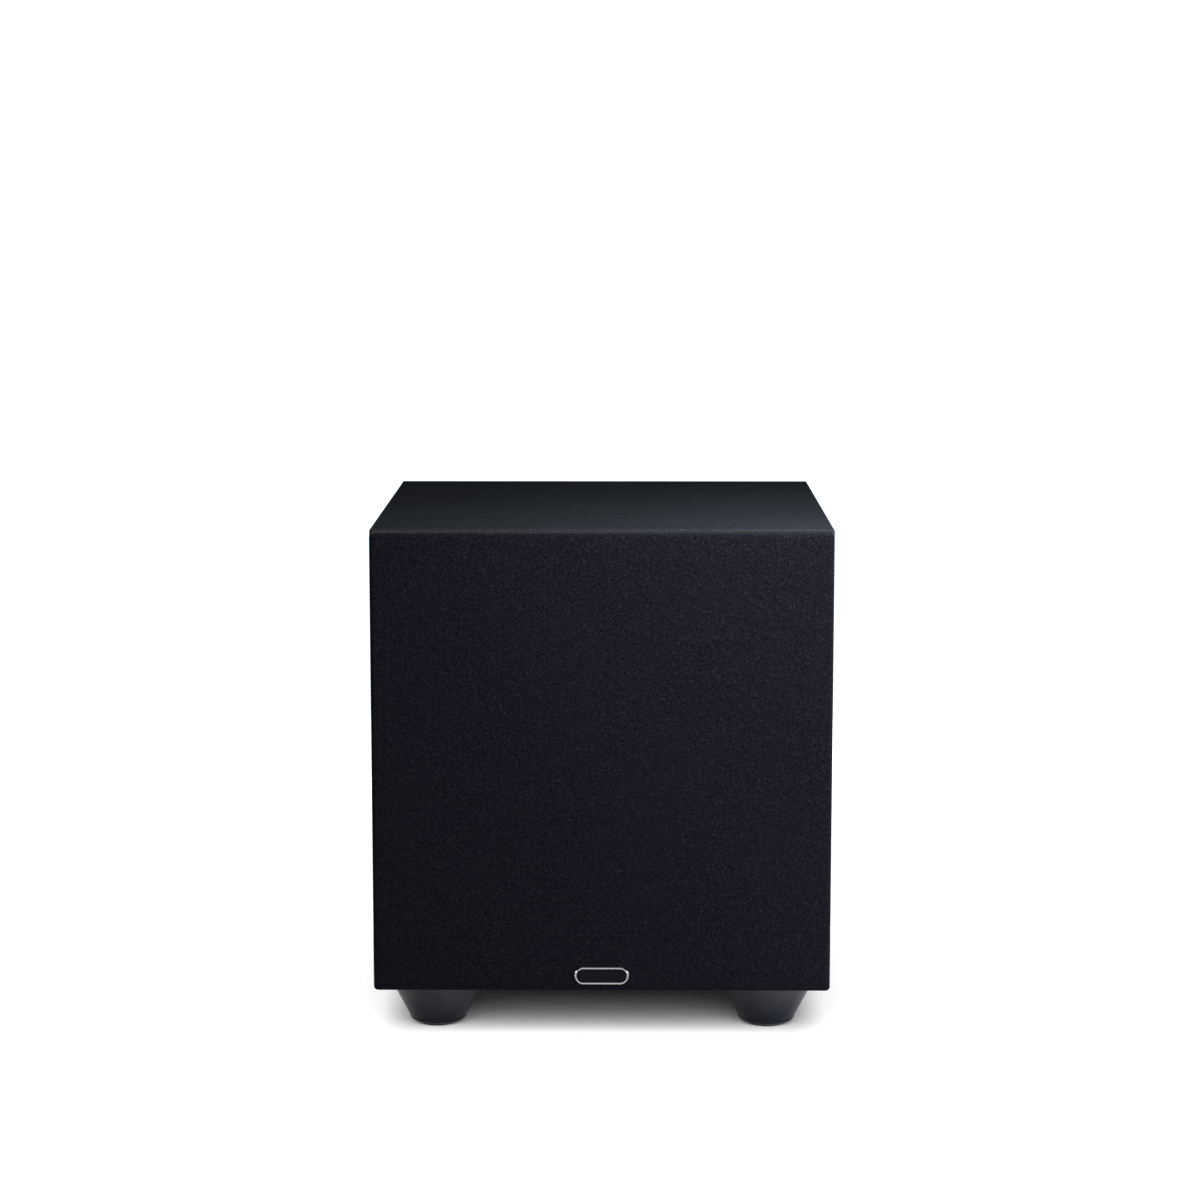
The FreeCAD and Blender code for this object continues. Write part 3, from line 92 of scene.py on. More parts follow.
class Surface:
    """A Principled material whose colour, roughness and bump come from procedural nodes."""

    def __init__(self, name, colour, rough, metallic=0.0, **sockets):
        self.material = bpy.data.materials.new(name)
        self.material.use_nodes = True
        self.tree = self.material.node_tree
        self.shader = self.tree.nodes["Principled BSDF"]
        self.colour = (*colour, 1.0)
        self.set(self.shader, "Base Color", self.colour)
        self.set(self.shader, "Roughness", rough)
        self.set(self.shader, "Metallic", metallic)
        for socket, value in sockets.items():
            self.set(self.shader, socket.replace("_", " "), value)
        self.coords = self.add("ShaderNodeTexCoord").outputs["Object"]
        self.bumped = None

    def set(self, node, socket, value):
        """Links a socket to another node's output, or gives it a plain value."""
        if isinstance(value, bpy.types.NodeSocket):
            self.tree.links.new(value, node.inputs[socket])
        else:
            node.inputs[socket].default_value = value

    def add(self, kind, inputs=(), **settings):
        """A new node with its settings and inputs."""
        node = self.tree.nodes.new(kind)
        for key, value in settings.items():
            setattr(node, key, value)
        for socket, value in dict(inputs).items():
            self.set(node, socket, value)
        return node

    def place(self, scale, where=None):
        """Coordinates scaled along each axis: a smaller scale draws a pattern out."""
        inputs = {"Vector": where or self.coords, "Scale": scale}
        return self.add("ShaderNodeMapping", inputs).outputs["Vector"]

    def noise(self, size, detail=3.0, where=None, rough=0.5):
        """Cloudy values from 0 to 1, with features of about this size."""
        inputs = {"Vector": where or self.coords, "Scale": 1 / size, "Detail": detail, "Roughness": rough}
        return self.add("ShaderNodeTexNoise", inputs).outputs["Fac"]

    def cells(self, size, where=None, feature="F1"):
        """Distances to scattered points about this far apart, from 0 to about 1."""
        inputs = {"Vector": where or self.coords, "Scale": 1 / size}
        return self.add("ShaderNodeTexVoronoi", inputs, feature=feature).outputs["Distance"]

    def bands(self, period, axis, where=None, wobble=0.0):
        """Even ridges that repeat every period along an axis."""
        inputs = {"Vector": where or self.coords, "Scale": math.pi / 10 / period, "Distortion": wobble}
        return self.add("ShaderNodeTexWave", inputs, bands_direction=axis).outputs["Fac"]

    def along(self, axis):
        """How far each point lies along one of the object's axes."""
        return self.add("ShaderNodeSeparateXYZ", {"Vector": self.coords}).outputs[axis]

    def math(self, operation, a, b=0.0, c=0.0):
        """One arithmetic step."""
        return self.add("ShaderNodeMath", {0: a, 1: b, 2: c}, operation=operation).outputs[0]

    def spread(self, value, low, high, out_low=0.0, out_high=1.0):
        """Values between low and high, stretched to the new ends and clamped."""
        inputs = {"Value": value, "From Min": low, "From Max": high, "To Min": out_low, "To Max": out_high}
        return self.add("ShaderNodeMapRange", inputs).outputs["Result"]

    def tint(self, value, other):
        """Mixes the colour so far towards another colour, by a value."""
        now = self.shader.inputs["Base Color"]
        source = now.links[0].from_socket if now.links else self.colour
        inputs = {"Factor": value, MIX_FROM: source, MIX_TO: (*other, 1.0)}
        node = self.add("ShaderNodeMix", inputs, data_type="RGBA")
        self.set(self.shader, "Base Color", node.outputs[MIX_RESULT])
        return self

    def shine(self, value, low, high):
        """Roughness that runs between two ends, by a value."""
        self.set(self.shader, "Roughness", self.spread(value, 0.0, 1.0, low, high))
        return self

    def bump(self, height, depth, strength=1.0):
        """Relief of a real depth, on top of any that is there already."""
        inputs = {"Height": height, "Distance": depth, "Strength": strength}
        if self.bumped is not None:
            inputs["Normal"] = self.bumped
        self.bumped = self.add("ShaderNodeBump", inputs).outputs["Normal"]
        self.set(self.shader, "Normal", self.bumped)
        return self


def moulded(name, colour, rough, grain=0.5 * MM, depth=0.03 * MM, **sockets):
    """Moulded plastic with a fine spark-eroded texture and slight colour drift."""
    made = Surface(name, colour, rough, **sockets)
    cloud = made.noise(35 * MM, 4)
    made.tint(made.spread(cloud, 0.3, 0.75, 0.0, 0.5), [c * 1.5 + 0.002 for c in colour])
    made.shine(made.noise(9 * MM, 5), rough - 0.07, rough + 0.08)
    made.bump(made.noise(grain, 2), depth)
    return made


def foot_plastic():
    """Satin black plastic, painted lighter towards the top and so darker towards the floor: painted light
    and shade.
    """
    made = moulded("foot_plastic", (0.0020, 0.0026, 0.0056), 0.36, 0.6 * MM, Specular_IOR_Level=0.1)
    low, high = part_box("foot_front_left")
    # Painted light: the foot is tinted lighter with height, in blotches, where more light falls on its top.
    painted_top_light = made.spread(made.along("Z"), low.z + 6 * MM, high.z + 6 * MM, 0.0, 0.9)
    made.tint(made.math("MULTIPLY", painted_top_light, made.noise(25 * MM, 4)), (0.040, 0.043, 0.048))
    return made


def coated_metal(name, colour, rough, peel):
    """Powder-coated metal: orange peel and faint handling marks."""
    made, depth = Surface(name, colour, rough), 0.05 * MM
    made.tint(made.spread(made.noise(24 * MM, 5), 0.35, 0.8, 0.0, 0.6), [c * 1.35 + 0.001 for c in colour])
    made.shine(made.noise(6 * MM, 6), rough - 0.06, rough + 0.1)
    made.bump(made.noise(peel, 1.5), depth)
    made.bump(made.noise(0.35 * MM, 1), depth / 4)
    return made


def brushed(name, colour, rough, axis=1):
    """Bare or plated metal with fine lines along one axis."""
    made = Surface(name, colour, rough, 1.0)
    scale = [1.0, 1.0, 1.0]
    scale[axis] = 0.04
    lines = made.noise(0.25 * MM, 3, made.place(scale))
    made.tint(made.spread(made.noise(8 * MM, 4), 0.3, 0.8, 0.0, 0.5), [c * 0.72 for c in colour])
    made.shine(lines, rough - 0.08, rough + 0.12)
    made.bump(lines, 0.01 * MM)
    return made


def cabinet_wrap():
    """Black vinyl wrap: a fine pebble texture with pale specks, a little polished in places."""
    made = Surface("cabinet_wrap", (0.0068, 0.0077, 0.0094), 0.42, Specular_IOR_Level=0.13)
    pebble = made.cells(0.6 * MM, feature="SMOOTH_F1")
    made.tint(made.spread(made.noise(70 * MM, 4), 0.3, 0.75, 0.0, 0.6), (0.0084, 0.0097, 0.0120))
    made.tint(made.spread(pebble, 0.15, 0.7, 0.0, 0.35), (0.0035, 0.0040, 0.0049))
    made.tint(made.spread(made.noise(1.1 * MM, 2), 0.58, 0.72, 0.0, 0.6), (0.0240, 0.0275, 0.0310))
    made.shine(made.noise(12 * MM, 6), 0.38, 0.5)
    made.bump(pebble, 0.03 * MM, 0.6)
    made.bump(made.noise(0.2 * MM, 2), 0.01 * MM)
    return made


def painted_board():
    """Matt black paint over machined MDF."""
    made = Surface("baffle_paint", (0.011, 0.011, 0.012), 0.62, Specular_IOR_Level=0.35)
    made.tint(made.spread(made.noise(18 * MM, 6), 0.35, 0.8, 0.0, 0.5), (0.018, 0.018, 0.02))
    made.shine(made.noise(4 * MM, 5), 0.55, 0.72)
    made.bump(made.noise(0.8 * MM, 4), 0.06 * MM)
    return made


def bare_board():
    """Bare MDF: fine pale and dark fibres."""
    made = Surface("raw_board", (0.36, 0.23, 0.125), 0.85)
    fibres = made.noise(1.4 * MM, 6, made.place((1, 1, 0.45)), 0.7)
    made.tint(made.spread(fibres, 0.35, 0.65), (0.52, 0.37, 0.22))
    made.tint(made.spread(made.noise(30 * MM, 4), 0.4, 0.8, 0.0, 0.5), (0.29, 0.18, 0.09))
    made.bump(fibres, 0.12 * MM)
    return made


def knit_cloth():
    """Fine black knit: diagonal wales crossed by courses, flecked with brighter and tinted loops."""
    made = Surface("grille_knit", (0.0012, 0.0013, 0.0028), 0.85, Specular_IOR_Level=0.012,
                   Sheen_Weight=0.015, Sheen_Roughness=0.42, Sheen_Tint=(1.0, 0.97, 0.88, 1.0))
    x, y, z = (made.along(axis) for axis in "XYZ")
    rising = made.math("SUBTRACT", made.math("SUBTRACT", x, z), y)
    falling = made.math("ADD", made.math("ADD", x, z), y)
    weave = made.add("ShaderNodeCombineXYZ", {"X": rising, "Y": falling}).outputs["Vector"]
    wale = made.bands(1.25 * MM, "X", weave, 0.6)
    course = made.bands(1.05 * MM, "Y", weave, 0.5)
    loops = made.math("MULTIPLY", wale, made.math("MULTIPLY_ADD", course, 0.5, 0.5))
    streaks = made.noise(1.4 * MM, 2, made.place((1, 0.3, 1), weave), 0.6)
    flecks = made.spread(made.noise(1.1 * MM, 2), 0.58, 0.72)
    made.tint(made.spread(streaks, 0.4, 0.62, 0.0, 0.75), (0.0054, 0.0056, 0.0079))
    made.tint(made.spread(made.noise(1.8 * MM, 1), 0.5, 0.66, 0.0, 0.5), (0.0055, 0.0046, 0.0066))
    made.tint(made.spread(loops, 0.0, 0.9, 0.5, 0.0), (0.0005, 0.0006, 0.0013))
    made.tint(made.math("MULTIPLY", flecks, 0.45), (0.0142, 0.0160, 0.0190))
    made.tint(made.spread(made.noise(60 * MM, 3), 0.35, 0.75, 0.0, 0.3), (0.0028, 0.0030, 0.0045))
    made.bump(loops, 0.16 * MM, 0.8)
    made.bump(streaks, 0.08 * MM)
    return made


def wadding_felt():
    """Grey felt wadding: tangled fibres, pale and dark."""
    made = Surface("wadding", (0.2, 0.2, 0.195), 0.95, Sheen_Weight=0.4)
    tangle = made.noise(2.2 * MM, 8, made.place((1, 0.5, 1)), 0.75)
    made.tint(made.spread(tangle, 0.38, 0.62), (0.42, 0.42, 0.4))
    made.tint(made.spread(made.noise(1.1 * MM, 3), 0.62, 0.72), (0.05, 0.06, 0.09))
    made.bump(tangle, 0.9 * MM)
    return made


def rubber(name, colour, rough, depth=0.02 * MM):
    """Moulded rubber with a dusty bloom."""
    made = Surface(name, colour, rough, Specular_IOR_Level=0.35)
    bloom = made.noise(14 * MM, 6, rough=0.65)
    made.tint(made.spread(bloom, 0.42, 0.8, 0.0, 0.5), [c * 2.2 + 0.004 for c in colour])
    made.shine(made.noise(3 * MM, 4), rough - 0.08, rough + 0.1)
    made.bump(made.noise(0.6 * MM, 3), depth)
    return made


def closed_foam():
    """Black closed-cell foam."""
    made = Surface("seal_foam", (0.014, 0.014, 0.015), 0.9)
    cells = made.cells(0.8 * MM)
    made.tint(made.spread(cells, 0.2, 0.8, 0.0, 0.6), (0.004, 0.004, 0.004))
    made.bump(cells, 0.2 * MM)
    return made


def polished_badge():
    """Dark bright plating with faint polishing lines."""
    made = Surface("badge_metal", (0.30, 0.30, 0.305), 0.16, 1.0)
    lines = made.noise(0.3 * MM, 2, made.place((0.05, 1, 1)))
    made.shine(lines, 0.08, 0.22)
    made.tint(made.spread(made.noise(5 * MM, 3), 0.4, 0.8, 0.0, 0.4), (0.22, 0.215, 0.21))
    made.bump(lines, 0.003 * MM)
    return made


def enamel():
    """Deep black enamel, slightly uneven."""
    made = Surface("badge_enamel", (0.0016, 0.0016, 0.0024), 0.32, Specular_IOR_Level=0.03)
    made.tint(made.spread(made.noise(3 * MM, 3), 0.4, 0.8, 0.0, 0.6), (0.0050, 0.0050, 0.0070))
    made.shine(made.noise(2 * MM, 3), 0.26, 0.4)
    made.bump(made.noise(6 * MM, 2), 0.02 * MM)
    return made


def cone_paper():
    """Coated black pulp: felted fibres and a slight satin."""
    made = Surface("cone_paper", (0.014, 0.014, 0.0155), 0.58, Specular_IOR_Level=0.4)
    fibres = made.noise(1.1 * MM, 7, rough=0.72)
    made.tint(made.spread(fibres, 0.4, 0.68, 0.0, 0.6), (0.03, 0.03, 0.033))
    made.tint(made.spread(made.noise(0.7 * MM, 2), 0.68, 0.8, 0.0, 0.4), (0.06, 0.058, 0.055))
    made.shine(made.noise(5 * MM, 4), 0.48, 0.7)
    made.bump(fibres, 0.11 * MM)
    return made


def wound_copper():
    """Enamelled wire, turn beside turn."""
    made = Surface("copper", (0.62, 0.24, 0.09), 0.28, 1.0, Coat_Weight=0.5)
    turns = made.bands(0.4 * MM, "Y", wobble=0.2)
    made.tint(made.spread(turns, 0.0, 0.5, 0.8, 0.0), (0.16, 0.05, 0.02))
    made.bump(turns, 0.15 * MM)
    return made


def spider_cloth():
    """Amber resin-dipped plain weave."""
    made = Surface("spider_cloth", (0.5, 0.29, 0.07), 0.55, Sheen_Weight=0.2)
    warp, weft = made.bands(0.9 * MM, "X"), made.bands(0.9 * MM, "Z")
    weave = made.math("MULTIPLY", warp, weft)
    made.tint(made.spread(weave, 0.0, 0.45, 0.75, 0.0), (0.2, 0.09, 0.02))
    made.tint(made.spread(made.noise(20 * MM, 4), 0.4, 0.8, 0.0, 0.5), (0.62, 0.42, 0.14))
    made.bump(weave, 0.2 * MM)
    return made


def ferrite(name, colour):
    """Sintered ferrite: dark, slightly pitted, with grinding haze."""
    made = Surface(name, colour, 0.5, Specular_IOR_Level=0.6)
    made.tint(made.spread(made.cells(2.5 * MM), 0.0, 0.2, 0.7, 0.0), [c * 0.35 for c in colour])
    made.shine(made.noise(5 * MM, 6), 0.38, 0.62)
    made.bump(made.noise(1.0 * MM, 5), 0.07 * MM)
    return made


def phenolic():
    """Brown laminate with a fine paper fleck."""
    made = Surface("terminal_board", (0.13, 0.06, 0.02), 0.5)
    made.tint(made.spread(made.noise(0.6 * MM, 4), 0.4, 0.7, 0.0, 0.6), (0.22, 0.12, 0.05))
    made.bump(made.noise(0.5 * MM, 3), 0.03 * MM)
    return made


def two_wires():
    """One black lead and one red, told apart by their height and by how far across they lie."""
    made = rubber("wire_jacket", (0.012, 0.012, 0.012), 0.45)
    upper = made.math("GREATER_THAN", made.along("Z"), DRIVER.z)
    outer = made.math("GREATER_THAN", made.along("X"), middle("speaker_wires").x + 3 * MM)
    made.tint(made.math("MAXIMUM", upper, outer), (0.35, 0.015, 0.012))
    return made


def laminate():
    """Green solder mask over glass laminate, with the copper's pattern just showing."""
    made = Surface("circuit_laminate", (0.012, 0.11, 0.045), 0.35, Coat_Weight=0.4, Coat_Roughness=0.2)
    tracks = made.cells(9 * MM, made.place((1, 1, 0.5)))
    made.tint(made.spread(tracks, 0.42, 0.5), (0.02, 0.19, 0.075))
    made.bump(made.spread(tracks, 0.42, 0.5), 0.05 * MM)
    return made


def phono_cores():
    """White insulator in the upper jack and red in the lower, by height."""
    made = Surface("insulator", (0.78, 0.77, 0.74), 0.3)
    made.tint(made.math("LESS_THAN", made.along("Z"), middle("rca_cores").z), (0.5, 0.012, 0.012))
    made.tint(made.spread(made.noise(1.5 * MM, 3), 0.5, 0.9, 0.0, 0.3), (0.45, 0.3, 0.28))
    made.bump(made.noise(0.8 * MM, 2), 0.01 * MM)
    return made


def lamp_lens():
    """Frosted green light pipe, unlit."""
    made = Surface("lamp_lens", (0.03, 0.32, 0.1), 0.25, Transmission_Weight=0.3, Coat_Weight=0.5)
    made.tint(made.spread(made.noise(0.8 * MM, 3), 0.4, 0.8, 0.0, 0.5), (0.1, 0.55, 0.2))
    made.bump(made.noise(0.4 * MM, 2), 0.01 * MM)
    return made


def fuse_glass():
    """Nickel caps at the ends and clear glass between, told apart by distance along the fuse."""
    made = Surface("fuse_glass", (0.82, 0.85, 0.85), 0.08, Transmission_Weight=0.7)
    off = made.math("ABSOLUTE", made.math("SUBTRACT", made.along("X"), middle("fuse").x))
    cap = made.math("GREATER_THAN", off, 5 * MM)
    clear = made.math("MULTIPLY", made.math("SUBTRACT", 1.0, cap), 0.8)
    made.tint(cap, (0.6, 0.58, 0.52))
    made.set(made.shader, "Metallic", cap)
    made.set(made.shader, "Transmission Weight", clear)
    made.bump(made.noise(1.5 * MM, 3), 0.02 * MM)
    return made


def white_ink():
    """Screen-printed legend ink."""
    made = Surface("legend_ink", (0.62, 0.62, 0.6), 0.5)
    made.tint(made.spread(made.noise(0.5 * MM, 4), 0.5, 0.8, 0.0, 0.5), (0.4, 0.4, 0.39))
    made.bump(made.noise(0.3 * MM, 2), 0.01 * MM)
    return made


def wound_transformer():
    """Grey ferrite core with a yellow taped winding, told apart by how far from the middle they are."""
    made = ferrite("core_ferrite", (0.045, 0.045, 0.048))
    half_winding = 15.05 * MM
    off = made.math("ABSOLUTE", made.math("SUBTRACT", made.along("X"), middle("transformer").x))
    made.tint(made.math("LESS_THAN", off, half_winding), (0.55, 0.35, 0.03))
    return made


def sleeved_can():
    """Dark blue sleeve with a pale stripe on one side."""
    made = Surface("can_sleeve", (0.01, 0.014, 0.045), 0.3, Coat_Weight=0.3)
    stripe_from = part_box("capacitors")[1].x - 1.0 * MM
    made.tint(made.math("GREATER_THAN", made.along("X"), stripe_from), (0.5, 0.52, 0.55))
    made.tint(made.spread(made.noise(6 * MM, 4), 0.5, 0.9, 0.0, 0.4), (0.02, 0.03, 0.08))
    made.bump(made.noise(3 * MM, 3), 0.04 * MM)
    return made


SURFACES = {
    "cabinet_wrap": cabinet_wrap(),
    "baffle_paint": painted_board(),
    "raw_board": bare_board(),
    "wadding": wadding_felt(),
    "foot_plastic": foot_plastic(),
    "foot_rubber": rubber("foot_rubber", (0.008, 0.008, 0.01), 0.7, 0.04 * MM),
    "black_screws": brushed("black_screws", (0.06, 0.06, 0.065), 0.38),
    "frame_plastic": moulded("frame_plastic", (0.014, 0.014, 0.015), 0.55, 0.7 * MM),
    "grille_knit": knit_cloth(),
    "badge_metal": polished_badge(),
    "socket_rubber": rubber("socket_rubber", (0.01, 0.01, 0.011), 0.6),
    "basket_metal": coated_metal("basket_metal", (0.013, 0.013, 0.015), 0.42, 2.2 * MM),
    "seal_foam": closed_foam(),
    "surround_rubber": rubber("surround_rubber", (0.009, 0.009, 0.0095), 0.42, 0.015 * MM),
    "cone_paper": cone_paper(),
    "former_foil": brushed("former_foil", (0.72, 0.72, 0.73), 0.25),
    "copper": wound_copper(),
    "spider_cloth": spider_cloth(),
    "zinc_steel": brushed("zinc_steel", (0.62, 0.6, 0.54), 0.35, 0),
    "ferrite": ferrite("ferrite", (0.022, 0.022, 0.024)),
    "terminal_board": phenolic(),
    "wire_jacket": two_wires(),
    "vent_plastic": moulded("vent_plastic", (0.012, 0.012, 0.0135), 0.4, 0.5 * MM, 0.02 * MM),
    "plate_paint": coated_metal("plate_paint", (0.015, 0.0155, 0.017), 0.5, 0.9 * MM),
    "sink_anodised": brushed("sink_anodised", (0.035, 0.035, 0.038), 0.42, 2),
    "knob_plastic": moulded("knob_plastic", (0.005, 0.005, 0.006), 0.32, 0.4 * MM, 0.012 * MM),
    "shaft_steel": brushed("shaft_steel", (0.6, 0.6, 0.6), 0.3),
    "control_metal": brushed("control_metal", (0.55, 0.55, 0.54), 0.35, 0),
    "contact_gold": brushed("contact_gold", (0.86, 0.6, 0.24), 0.2),
    "insulator": phono_cores(),
    "jack_plastic": moulded("jack_plastic", (0.006, 0.006, 0.007), 0.28, 0.4 * MM, 0.01 * MM),
    "lamp_lens": lamp_lens(),
    "lever_plastic": moulded("lever_plastic", (0.05, 0.05, 0.052), 0.4, 0.4 * MM, 0.01 * MM),
    "inlet_plastic": moulded("inlet_plastic", (0.0055, 0.0055, 0.006), 0.3, 0.5 * MM, 0.015 * MM),
    "pin_nickel": brushed("pin_nickel", (0.74, 0.7, 0.62), 0.22),
    "fuse_glass": fuse_glass(),
    "rocker_plastic": moulded("rocker_plastic", (0.004, 0.004, 0.005), 0.18, 0.5 * MM, 0.006 * MM),
    "circuit_laminate": laminate(),
    "post_brass": brushed("post_brass", (0.78, 0.56, 0.24), 0.3),
    "core_ferrite": wound_transformer(),
    "can_sleeve": sleeved_can(),
}
ENAMEL = enamel()
INK = white_ink()


def dress_nodes():
    """Gives every CAD node the material of its slot."""
    for entry in frame["record"]["subparts"]:
        node = NODES[entry["node"]]
        node.data.materials.clear()
        node.data.materials.append(SURFACES[entry["material_slot"]].material)


# ---------------------------------------------------------------- mesh helpers
def mesh_piece(name, shape, surface, body, crease=35.0):
    """An object from a bmesh, smooth except across sharp edges, riding on a body."""
    bmesh.ops.recalc_face_normals(shape, faces=shape.faces)
    limit = math.radians(crease)
    for face in shape.faces:
        face.smooth = True
    for edge in shape.edges:
        edge.smooth = edge.is_manifold and edge.calc_face_angle(0.0) < limit
    mesh = bpy.data.meshes.new(name)
    shape.to_mesh(mesh)
    shape.free()
    piece = bpy.data.objects.new(name, mesh)
    bpy.context.scene.collection.objects.link(piece)
    mesh.materials.append(surface.material)
    if body:
        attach(piece, body)
    return piece


def join_rings(shape, rings):
    """Faces between each loop of points and the next, where a point may stand in a loop more than once."""
    for a, b in zip(rings, rings[1:]):
        for i in range(len(a)):
            j = (i + 1) % len(a)
            corners = list(dict.fromkeys((a[i], a[j], b[j], b[i])))
            if len(corners) > 2:
                shape.faces.new(corners)


def lathed(profile, steps):
    """A closed ring turned about the driver's axis from (radius, y) points."""
    shape = bmesh.new()
    turns = [2 * math.pi * i / steps for i in range(steps)]
    rings = []
    for radius, y in profile:
        ring = [(DRIVER.x + radius * math.sin(a), y, DRIVER.z + radius * math.cos(a)) for a in turns]
        rings.append([shape.verts.new(place) for place in ring])
    join_rings(shape, rings + rings[:1])
    return shape


def arc(centre, radius, start, end, steps):
    """Points on a circle between two angles in degrees."""
    angles = [math.radians(start + (end - start) * i / steps) for i in range(steps + 1)]
    return [(centre[0] + radius * math.cos(a), centre[1] + radius * math.sin(a)) for a in angles]


dress_nodes()


# ---------------------------------------------------------------- grille
ROUND = 3.2 * MM          # the cloth's rounding over the frame's front edges
FOLD = 12 * MM            # how far the cloth is folded in behind the frame
FOLD_R = 0.9 * MM         # the fold's own rounding
CLOTH_T = 0.75 * MM
CLOTH_CELLS = 72          # mesh cells across the front
CORNER_STEPS = 6          # mesh cells round each rounded corner
RAIL = 21 * MM            # frame rail that backs the cloth, from the edge


def cloth_ring(shape, inset, y):
    """A closed loop of points this far inside the cloth's outline, rounded at the corners."""
    low, high = CLOTH_LOW, CLOTH_HIGH
    reach, radius = max(inset, ROUND), max(ROUND - inset, 0.0)
    left, right, bottom, top = low.x + reach, high.x - reach, low.z + reach, high.z - reach
    corners = [(left, bottom, 180), (right, bottom, 270), (right, top, 0), (left, top, 90)]
    loop = []
    for i, (x, z, start) in enumerate(corners):
        if radius:
            corner = arc((x, z), radius, start, start + 90, CORNER_STEPS)
            loop += [shape.verts.new((px, y, pz)) for px, pz in corner]
        else:
            loop += [shape.verts.new((x, y, z))] * (CORNER_STEPS + 1)
        next_x, next_z = corners[(i + 1) % 4][:2]
        out_x, out_z = ((0, -radius), (radius, 0), (0, radius), (-radius, 0))[i]
        for k in range(1, CLOTH_CELLS):
            t = k / CLOTH_CELLS
            place = (x + (next_x - x) * t + out_x, y, z + (next_z - z) * t + out_z)
            loop.append(shape.verts.new(place))
    return loop


def grille_cloth():
    """Knitted cloth drawn over the frame and folded in behind it."""
    shape = bmesh.new()
    front, back = CLOTH_LOW.y, CLOTH_HIGH.y
    profile = [(FOLD - i * (FOLD - FOLD_R) / 4, back) for i in range(5)]
    profile += [(FOLD_R * (1 - math.sin(a)), back - FOLD_R * (1 - math.cos(a))) for a in (0.4, 0.8, 1.2)]
    profile += [(0.0, back - FOLD_R - i * (back - FOLD_R - front - ROUND) / 5) for i in range(6)]
    turns = [math.radians(90 * i / 8) for i in range(1, 8)]
    profile += [(ROUND * (1 - math.cos(a)), front + ROUND * (1 - math.sin(a))) for a in turns]
    rings = [cloth_ring(shape, inset, y) for inset, y in profile]
    face = []
    for j in range(CLOTH_CELLS + 1):
        z = CLOTH_LOW.z + ROUND + (CLOTH_HIGH.z - CLOTH_LOW.z - 2 * ROUND) * j / CLOTH_CELLS
        row = []
        for i in range(CLOTH_CELLS + 1):
            x = CLOTH_LOW.x + ROUND + (CLOTH_HIGH.x - CLOTH_LOW.x - 2 * ROUND) * i / CLOTH_CELLS
            row.append(shape.verts.new((x, front + cloth_dip(x, z), z)))
        face.append(row)
    for j in range(CLOTH_CELLS):
        for i in range(CLOTH_CELLS):
            shape.faces.new((face[j][i], face[j][i + 1], face[j + 1][i + 1], face[j + 1][i]))
    again = CORNER_STEPS + 1          # each corner of the face meets every point of a rounded corner
    edge = [face[0][0]] * again + face[0][1:-1]
    edge += [face[0][-1]] * again + [row[-1] for row in face[1:-1]]
    edge += [face[-1][-1]] * again + face[-1][-2:0:-1]
    edge += [face[-1][0]] * again + [row[0] for row in face[-2:0:-1]]
    join_rings(shape, rings + [edge])
    piece = mesh_piece("grille_fabric", shape, SURFACES["grille_knit"], "grille", 80)
    skin = piece.modifiers.new("cloth_thickness", "SOLIDIFY")
    skin.thickness, skin.offset = CLOTH_T, -1.0
    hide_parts("grille_cloth")


def cloth_dip(x, z):
    """How far the stretched cloth lies behind its outline: a little over the window, uneven by a hair."""
    inside = min(x - CLOTH_LOW.x, CLOTH_HIGH.x - x, z - CLOTH_LOW.z, CLOTH_HIGH.z - z) - RAIL
    share = min(max(inside / (16 * MM), 0.0), 1.0)
    edge = min(max((inside + RAIL - ROUND) / (6 * MM), 0.0), 1.0)
    ripple = noise.noise(Vector((x, z, 0.3)) / 0.05)
    return share * share * (3 - 2 * share) * 0.15 * MM + edge * (0.05 + 0.05 * ripple) * MM


def pill(width, height, inset):
    """The outline of a pill lying along X, this far inside its own edge, as (x, z) points."""
    radius, half = height / 2 - inset, (width - height) / 2
    return arc((half, 0), radius, -90, 90, 20) + arc((-half, 0), radius, 90, 270, 20)


def badge_inlay():
    """A crowned enamel fill in the badge's field."""
    rim, depth, gap = 1.3 * MM, 0.6 * MM, 0.06 * MM
    wall, crown = 0.12 * MM, 0.32 * MM
    width = BADGE_HIGH.x - BADGE_LOW.x - 2 * (rim + gap)
    height = BADGE_HIGH.z - BADGE_LOW.z - 2 * (rim + gap)
    centre_z = middle("badge").z
    field_y = BADGE_LOW.y + depth
    shape = bmesh.new()
    rings = []
    for share in (0.0, 0.0, 0.03, 0.09, 0.2, 0.35, 0.5, 0.65, 0.8, 0.92):
        rise = crown * math.sqrt(max(1 - (1 - share) ** 2.6, 0.0)) + wall if rings else 0.0
        outline = pill(width, height, share * height / 2)
        rings.append([shape.verts.new((x, field_y - rise, centre_z + z)) for x, z in outline])
    join_rings(shape, rings)
    shape.faces.new(rings[0])
    shape.faces.new(rings[-1])
    mesh_piece("badge_enamel", shape, ENAMEL, "grille", 40)


# ---------------------------------------------------------------- driver
# Radii, depths behind the baffle's face (_S) and thicknesses (_T), all in millimetres.
BASKET_LIP, ROLL_R, ROLL_AT, RUBBER_T = 123.0, 9.7, 106.0, 1.2
SURROUND_IN, ROLL_OUT_END, ROLL_IN_END = 90.0, 115.7, 96.3
OUTER_BEAD, INNER_BEAD = 117.8, 94.2
SPIDER_IN, SPIDER_FOOT, SPIDER_OUT, SPIDER_S, SPIDER_T = 26.15, 74.0, 83.0, 63.1, 0.7
CONE_LIP, CONE_EDGE, NECK_R, NECK_S, CONE_T = 91.0, 97.0, 25.9, 44.0, 1.1


def driver_ring(name, points, slot, body=None, steps=192, crease=50):
    """A piece turned about the driver's axis, from (radius, depth behind the baffle) in millimetres."""
    profile = [(r * MM, BAFFLE_Y + s * MM) for r, s in points]
    return mesh_piece(name, lathed(profile, steps), SURFACES[slot], body, crease)


